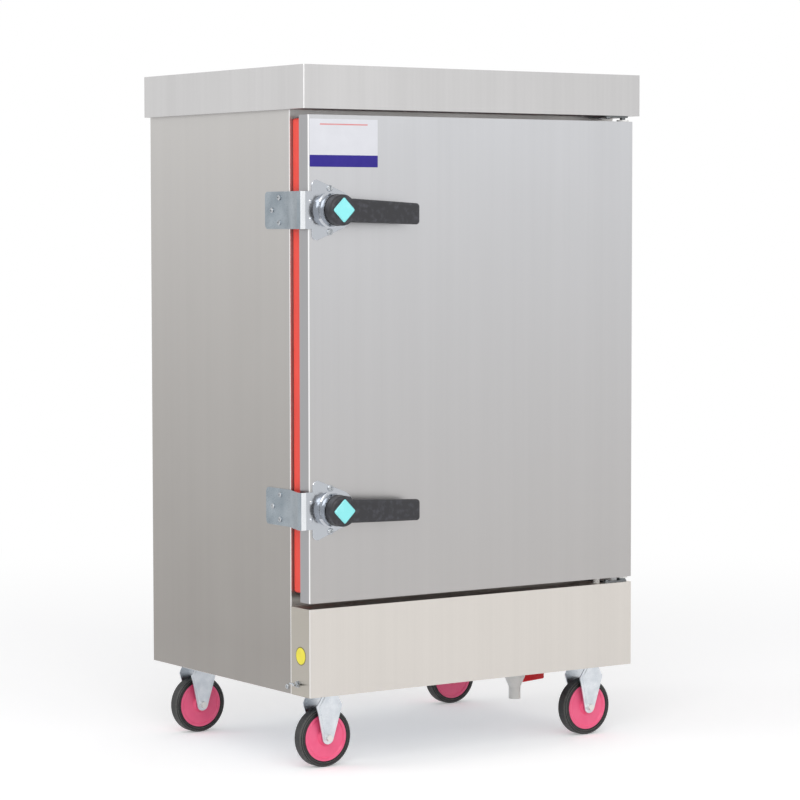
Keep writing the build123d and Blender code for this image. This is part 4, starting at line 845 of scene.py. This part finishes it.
def add_slab(
    name: str,
    outline: list[Pair],
    thickness: float,
    place: Matrix,
    finish: Finish,
    body: str,
) -> bpy.types.Object:
    """Add a flat slab with its back on a plane, and let it ride on a body.

    Args:
        name: The piece's name.
        outline: Its corner points in the plane.
        thickness: How far it stands off the plane.
        place: The plane's place, with its Z to the outside.
        finish: The finish of the whole piece.
        body: The body that carries it.

    Returns:
        The new object.
    """
    shape = bmesh.new()
    back = [shape.verts.new(place @ Vector((x, y, 0.0))) for x, y in outline]
    front = [shape.verts.new(place @ Vector((x, y, thickness))) for x, y in outline]
    shape.faces.new(front)
    shape.faces.new(list(reversed(back)))
    for i in range(len(outline)):
        j = (i + 1) % len(outline)
        shape.faces.new((back[i], back[j], front[j], front[i]))
    bmesh.ops.recalc_face_normals(shape, faces=shape.faces)
    mesh = bpy.data.meshes.new(name)
    shape.to_mesh(mesh)
    shape.free()
    mesh.materials.append(finish.material())
    piece = bpy.data.objects.new(name, mesh)
    bpy.context.scene.collection.objects.link(piece)
    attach(piece, body)
    LOG.info("%s rides on %s", name, body)
    return piece


def rounded_outline(width: float, height: float, radius: float, steps: int = 6) -> list[Pair]:
    """List the points of a rectangle with round corners, about its middle.

    Args:
        width: The whole width.
        height: The whole height.
        radius: The corners' radius.
        steps: How many lengths each corner's arc has.

    Returns:
        The points, anticlockwise.
    """
    points = []
    for corner in range(4):
        sign_x = 1 if corner in (0, 3) else -1
        sign_y = 1 if corner in (0, 1) else -1
        middle = (sign_x * (width / 2 - radius), sign_y * (height / 2 - radius))
        for step in range(steps + 1):
            angle = math.radians(90 * (corner + step / steps))
            out = (radius * math.cos(angle), radius * math.sin(angle))
            points.append((middle[0] + out[0], middle[1] + out[1]))
    return points


def facing_front(x: float, y: float, z: float) -> Matrix:
    """Return a place on an upright plane that faces the front, with X right and Y up on it."""
    return Matrix.Translation((x, y, z)) @ Matrix.Rotation(math.radians(90), 4, "X")


def facing_left(x: float, y: float, z: float) -> Matrix:
    """Return a place on an upright plane that faces left, with Y up on it."""
    turn = Matrix.Rotation(math.radians(-90), 4, "Z")
    return Matrix.Translation((x, y, z)) @ turn @ facing_front(0, 0, 0)


@dataclass
class Casing:
    """The folded sheets of the body, with the cover, apron, base and their fixings."""

    edge_mm: float = 0.5
    sticker_radius: float = 16 * MM
    sticker_ring: float = 1.6 * MM
    sticker_back: float = 28.2 * MM
    sticker_height: float = 201.5 * MM
    sticker_steps: int = 12

    def finish_sheets(self) -> None:
        """Finish the sheets and soften their folds."""
        dress(SIDE_SHEET, "left_side_panel", "right_side_panel", "front_frame")
        dress(BACK_SHEET, "back_panel")
        dress(COVER_SHEET, "top_cover")
        dress(APRON_SHEET, "front_apron")
        dress(GALVANISED, "base_plate", "base_rails")
        dress(SCREW_STEEL, "side_screws", "earth_stud")
        dress(WOOL, "body_insulation")
        for node in ("left_side_panel", "right_side_panel", "top_cover", "front_apron"):
            soften(node, self.edge_mm, EDGE_HIGHLIGHT_STEEL)

    def stick_earth_mark(self) -> None:
        """Stick the plain yellow disc with its olive ring on the apron's left return."""
        low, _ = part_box("front_apron")
        place = facing_left(low.x, low.y + self.sticker_back, self.sticker_height)
        layers = (
            ("earth_sticker_ring", self.sticker_radius, 1, FILM_RING),
            ("earth_sticker", self.sticker_radius - self.sticker_ring, 2, FILM_YELLOW),
        )
        for name, radius, layer, finish in layers:
            disc = rounded_outline(2 * radius, 2 * radius, radius, self.sticker_steps)
            add_slab(name, disc, layer * FILM_THICKNESS, place, finish, CABINET)

    def build(self) -> None:
        """Finish the casing and add what is stuck on it."""
        self.finish_sheets()
        self.stick_earth_mark()


@dataclass
class DoorLeaf:
    """The door with its gasket, hinges and the bare film at its top left corner."""

    edge_mm: float = 0.5
    film_width: float = 138 * MM
    film_height: float = 81 * MM
    film_left: float = 3 * MM
    film_top: float = 7 * MM
    film_corner: float = 0.8 * MM
    band_height: float = 20 * MM
    rule_width: float = 97 * MM
    rule_height: float = 2.2 * MM
    rule_drop: float = 9 * MM

    def finish_leaf(self) -> None:
        """Finish the door's sheets, gasket and hinges."""
        dress(DOOR_SHEET, "door_outer_skin", "door_inner_skin")
        soften("door_outer_skin", self.edge_mm, EDGE_HIGHLIGHT_STEEL)
        dress(WOOL, "door_insulation")
        dress(GASKET, "door_gasket")
        dress(HINGE_SHADE_STEEL, "hinge_plates")
        dress(SCREW_STEEL, "hinge_screws")
        dress(WHITE_NYLON, "hinge_bushes", "door_rest_pad")

    def stick_film(self) -> None:
        """Stick a bare film, a plain blue band and a thin rule on the door."""
        low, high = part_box("door_outer_skin")
        top = high.z - self.film_top
        bottom = top - self.film_height
        band = bottom + self.band_height / 2
        rule = top - self.rule_drop
        middle = low.x + self.film_left + self.film_width / 2
        parts = (
            ("door_film", self.film_width, self.film_height, (top + bottom) / 2, 1, FILM_CLEAR),
            ("door_film_band", self.film_width, self.band_height, band, 2, FILM_BLUE),
            ("door_film_rule", self.rule_width, self.rule_height, rule, 2, FILM_RED),
        )
        for name, width, height, z, layer, finish in parts:
            outline = rounded_outline(width, height, self.film_corner)
            place = facing_front(middle, low.y, z)
            add_slab(name, outline, layer * FILM_THICKNESS, place, finish, DOOR)

    def build(self) -> None:
        """Finish the door and stick its film."""
        self.finish_leaf()
        self.stick_film()


@dataclass
class LatchSet:
    """One lever latch: chromed base, spiral cam, sliding bolt, moulded lever and badge."""

    which: str
    rim_mm: float = 0.35

    def build(self) -> None:
        """Finish the latch's pieces, with a painted highlight on the rounded rim of the collar and
        base.
        """
        dress(CHROME, f"{self.which}_latch_base")
        soften(f"{self.which}_latch_base", self.rim_mm, CHROME_RIM_HIGHLIGHT)
        dress(CHROME, f"{self.which}_latch_bolt")
        dress(CAM_STEEL, f"{self.which}_latch_cam")
        dress(LEVER_NYLON, f"{self.which}_latch_lever")
        dress(BADGE_ABS, f"{self.which}_latch_badge")


@dataclass
class KeeperSet:
    """The keepers on the body's side and the screws of the latches and keepers."""

    edge_mm: float = 0.4

    def build(self) -> None:
        """Finish the keepers and screws."""
        dress(ZINC_FITTING, "keepers")
        soften("keepers", self.edge_mm, ZINC_EDGE_HIGHLIGHT)
        dress(SCREW_STEEL, "keeper_screws", "latch_screws")


@dataclass
class Caster:
    """One fixed caster: pressed fork, moulded wheel and soft tyre."""

    which: str
    edge_mm: float = 0.5
    step_mm: float = 0.25

    def build(self) -> None:
        """Finish the fork, the wheel and the tyre."""
        dress(GALVANISED, f"{self.which}_fork")
        soften(f"{self.which}_fork", self.edge_mm, ZINC_EDGE_HIGHLIGHT)
        dress(HUB_PLASTIC, f"{self.which}_wheel")
        dress(TYRE_RUBBER, f"{self.which}_tyre")
        soften(f"{self.which}_tyre", self.step_mm, TYRE_PALE_STEP)


@dataclass
class SteamChamber:
    """The chamber, its tray racks, the water tank and what heats and fills it."""

    sheet_nodes: tuple[str, ...] = (
        "inner_liner",
        "left_tray_rack",
        "right_tray_rack",
        "water_tank",
        "steam_plate",
        "vent_pipe",
    )

    def build(self) -> None:
        """Finish every inner piece, which the open door shows."""
        dress(LINER_SHEET, *self.sheet_nodes)
        dress(TUBE_STEEL, "heating_elements")
        dress(BRASS, "float_valve", "water_inlet")
        dress(FLOAT_PLASTIC, "float_arm")
        dress(GLAND_NYLON, "cable_gland")


@dataclass
class DrainTap:
    """The drain under the front, with its plastic valve and red lever."""

    lever_root: float = 6.5 * MM
    grip_start: float = 20 * MM
    grip_end: float = 84 * MM
    grip_low: Pair = (-18 * MM, -14 * MM)
    grip_high: Pair = (7.5 * MM, 3.5 * MM)
    grip_back: float = 1 * MM
    grip_thickness: float = 7 * MM
    grip_round_mm: float = 2.4
    grip_round_steps: int = 4

    def mould_grip(self) -> None:
        """Mould the lever's drooping grip round its blade."""
        low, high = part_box("drain_lever")
        root = self.lever_root
        place = facing_front(low.x + root, high.y - self.grip_back, high.z - root)
        outline = [
            (self.grip_start, self.grip_low[0]),
            (self.grip_end, self.grip_low[1]),
            (self.grip_end, self.grip_high[1]),
            (self.grip_start, self.grip_high[0]),
        ]
        grip = add_slab(
            "drain_lever_grip",
            outline,
            self.grip_thickness,
            place,
            VALVE_ABS,
            "drain_lever",
        )
        bevel = grip.modifiers.new("round_edges", "BEVEL")
        bevel.width = self.grip_round_mm * MM
        bevel.segments = self.grip_round_steps

    def build(self) -> None:
        """Finish the pipe, the valve and the lever, and add the lever's grip."""
        dress(VALVE_PVC, "drain_pipe", "drain_valve")
        dress(VALVE_ABS, "drain_lever")
        self.mould_grip()


@dataclass(frozen=True)
class Lamp:
    """A square soft lamp: where it hangs, its side and its power."""

    name: str
    place: Triple
    side: float
    watts: float

    def hang(self, target: Triple) -> None:
        """Hang the lamp so that it looks at a point.

        Args:
            target: The point.
        """
        lamp = bpy.data.lights.new(self.name, "AREA")
        lamp.size = self.side
        lamp.energy = self.watts
        item = bpy.data.objects.new(self.name, lamp)
        item.location = self.place
        item.rotation_euler = (Vector(target) - item.location).to_track_quat("-Z", "Y").to_euler()
        bpy.context.scene.collection.objects.link(item)


@dataclass
class Studio:
    """A pale floor, soft lamps, a white surround and the camera of the reference view.

    Attributes:
        floor_size: The floor's side.
        floor_colour: Its paper's colour.
        floor_lift: The white added to it where it is seen directly.
        clear_near: How far out it starts to clear to white.
        clear_far: How far out it is white.
        camera_place: Where the camera stands.
        camera_turn: Its turn about each axis, in degrees.
        camera_reach: How far it sees.
        lens_mm: Its focal length.
        sensor_mm: Its sensor's width.
        ambient: The strength of the soft light from all round.
        lit_point: The point that the lamps look at.
        lamps: The lamps.
    """

    floor_size: float = 60.0
    floor_colour: str = "#f8f8f9"
    floor_lift: float = 0.27
    clear_near: float = 0.9
    clear_far: float = 3.2
    camera_place: Triple = (-3.0146, -4.44985, 0.9424)
    camera_turn: Triple = (86.533, 0.07, -34.245)
    camera_reach: float = 100.0
    lens_mm: float = 132.1
    sensor_mm: float = 36.0
    ambient: float = 0.62
    lit_point: Triple = (0.0, 0.0, 0.6)
    lamps: tuple[Lamp, ...] = (
        Lamp("key_lamp", place=(-2.2, -3.0, 3.0), side=2.6, watts=52.0),
        Lamp("front_lamp", place=(0.2, -4.2, 2.4), side=1.4, watts=20.0),
        Lamp("side_lamp", place=(-3.5, 1.6, 2.4), side=1.4, watts=13.0),
    )

    def seen_directly(self, tree: Tree) -> Socket:
        """Add nodes that give 1 to what the camera, a mirror or glass sees, and 0 to soft light.

        Args:
            tree: The node tree.

        Returns:
            The value's socket.
        """
        path = add_node(tree, "ShaderNodeLightPath")
        shown = path.outputs["Is Camera Ray"]
        for ray in ("Is Glossy Ray", "Is Transmission Ray"):
            links = {0: shown, 1: path.outputs[ray]}
            shown = add_node(tree, "ShaderNodeMath", {"operation": "MAXIMUM"}, links).outputs[0]
        return shown

    def paper(self) -> bpy.types.Material:
        """Make the floor's matt paper, which takes the shadow and clears to white far away.

        Returns:
            The material.
        """
        material = bpy.data.materials.new("paper_backdrop_matt")
        material.use_nodes = True
        tree = material.node_tree
        tree.nodes.clear()
        sheet = add_node(tree, "ShaderNodeBsdfDiffuse", {"Color": linear(self.floor_colour)})
        settings = {"operation": "MULTIPLY", 1: self.floor_lift}
        lift = add_node(tree, "ShaderNodeMath", settings, {0: self.seen_directly(tree)})
        glow = add_node(tree, "ShaderNodeEmission", {"Color": WHITE}, {"Strength": lift})
        lit = add_node(tree, "ShaderNodeAddShader", links={0: sheet, 1: glow})
        white = add_node(tree, "ShaderNodeEmission", {"Color": WHITE, "Strength": 1.0})
        place = add_node(tree, "ShaderNodeTexCoord").outputs["Object"]
        far = add_node(tree, "ShaderNodeVectorMath", {"operation": "LENGTH"}, {0: place})
        settings = {
            "interpolation_type": "SMOOTHSTEP",
            "From Min": self.clear_near,
            "From Max": self.clear_far,
        }
        fade = add_node(tree, "ShaderNodeMapRange", settings, {"Value": far.outputs["Value"]})
        mixed = add_node(tree, "ShaderNodeMixShader", links={0: fade, 1: lit, 2: white})
        add_node(tree, "ShaderNodeOutputMaterial", links={"Surface": mixed})
        return material

    def lay_floor(self) -> None:
        """Lay the floor, which fades into the white surround away from the object."""
        shape = bmesh.new()
        bmesh.ops.create_grid(shape, x_segments=1, y_segments=1, size=self.floor_size / 2)
        mesh = bpy.data.meshes.new("floor")
        shape.to_mesh(mesh)
        shape.free()
        mesh.materials.append(self.paper())
        floor = bpy.data.objects.new("floor", mesh)
        bpy.context.scene.collection.objects.link(floor)

    def light_world(self) -> None:
        """Show white to the camera and in reflections, and light softly from all round."""
        world = bpy.data.worlds.new("studio")
        bpy.context.scene.world = world
        world.use_nodes = True
        tree = world.node_tree
        tree.nodes.clear()
        shown = self.seen_directly(tree)
        soft = add_node(tree, "ShaderNodeBackground", {"Color": WHITE, "Strength": self.ambient})
        white = add_node(tree, "ShaderNodeBackground", {"Color": WHITE, "Strength": 1.0})
        mixed = add_node(tree, "ShaderNodeMixShader", links={0: shown, 1: soft, 2: white})
        add_node(tree, "ShaderNodeOutputWorld", links={"Surface": mixed})

    def set_camera(self) -> None:
        """Set the camera at the reference view."""
        data = bpy.data.cameras.new("camera")
        data.lens = self.lens_mm
        data.sensor_width = self.sensor_mm
        data.clip_end = self.camera_reach
        item = bpy.data.objects.new("camera", data)
        item.location = self.camera_place
        item.rotation_euler = [math.radians(angle) for angle in self.camera_turn]
        bpy.context.scene.collection.objects.link(item)
        bpy.context.scene.camera = item

    def build(self) -> None:
        """Make the whole studio."""
        bpy.context.scene.view_settings.view_transform = "Standard"
        self.set_camera()
        self.lay_floor()
        self.light_world()
        for lamp in self.lamps:
            lamp.hang(self.lit_point)


def main() -> None:
    """Build the studio and every sub-assembly in order."""
    logging.basicConfig(level=logging.INFO, format="%(message)s")
    Studio().build()
    Casing().build()
    DoorLeaf().build()
    for which in LATCHES:
        LatchSet(which).build()
    KeeperSet().build()
    for which in CASTERS:
        Caster(which).build()
    SteamChamber().build()
    DrainTap().build()


if __name__ == "__main__":
    main()
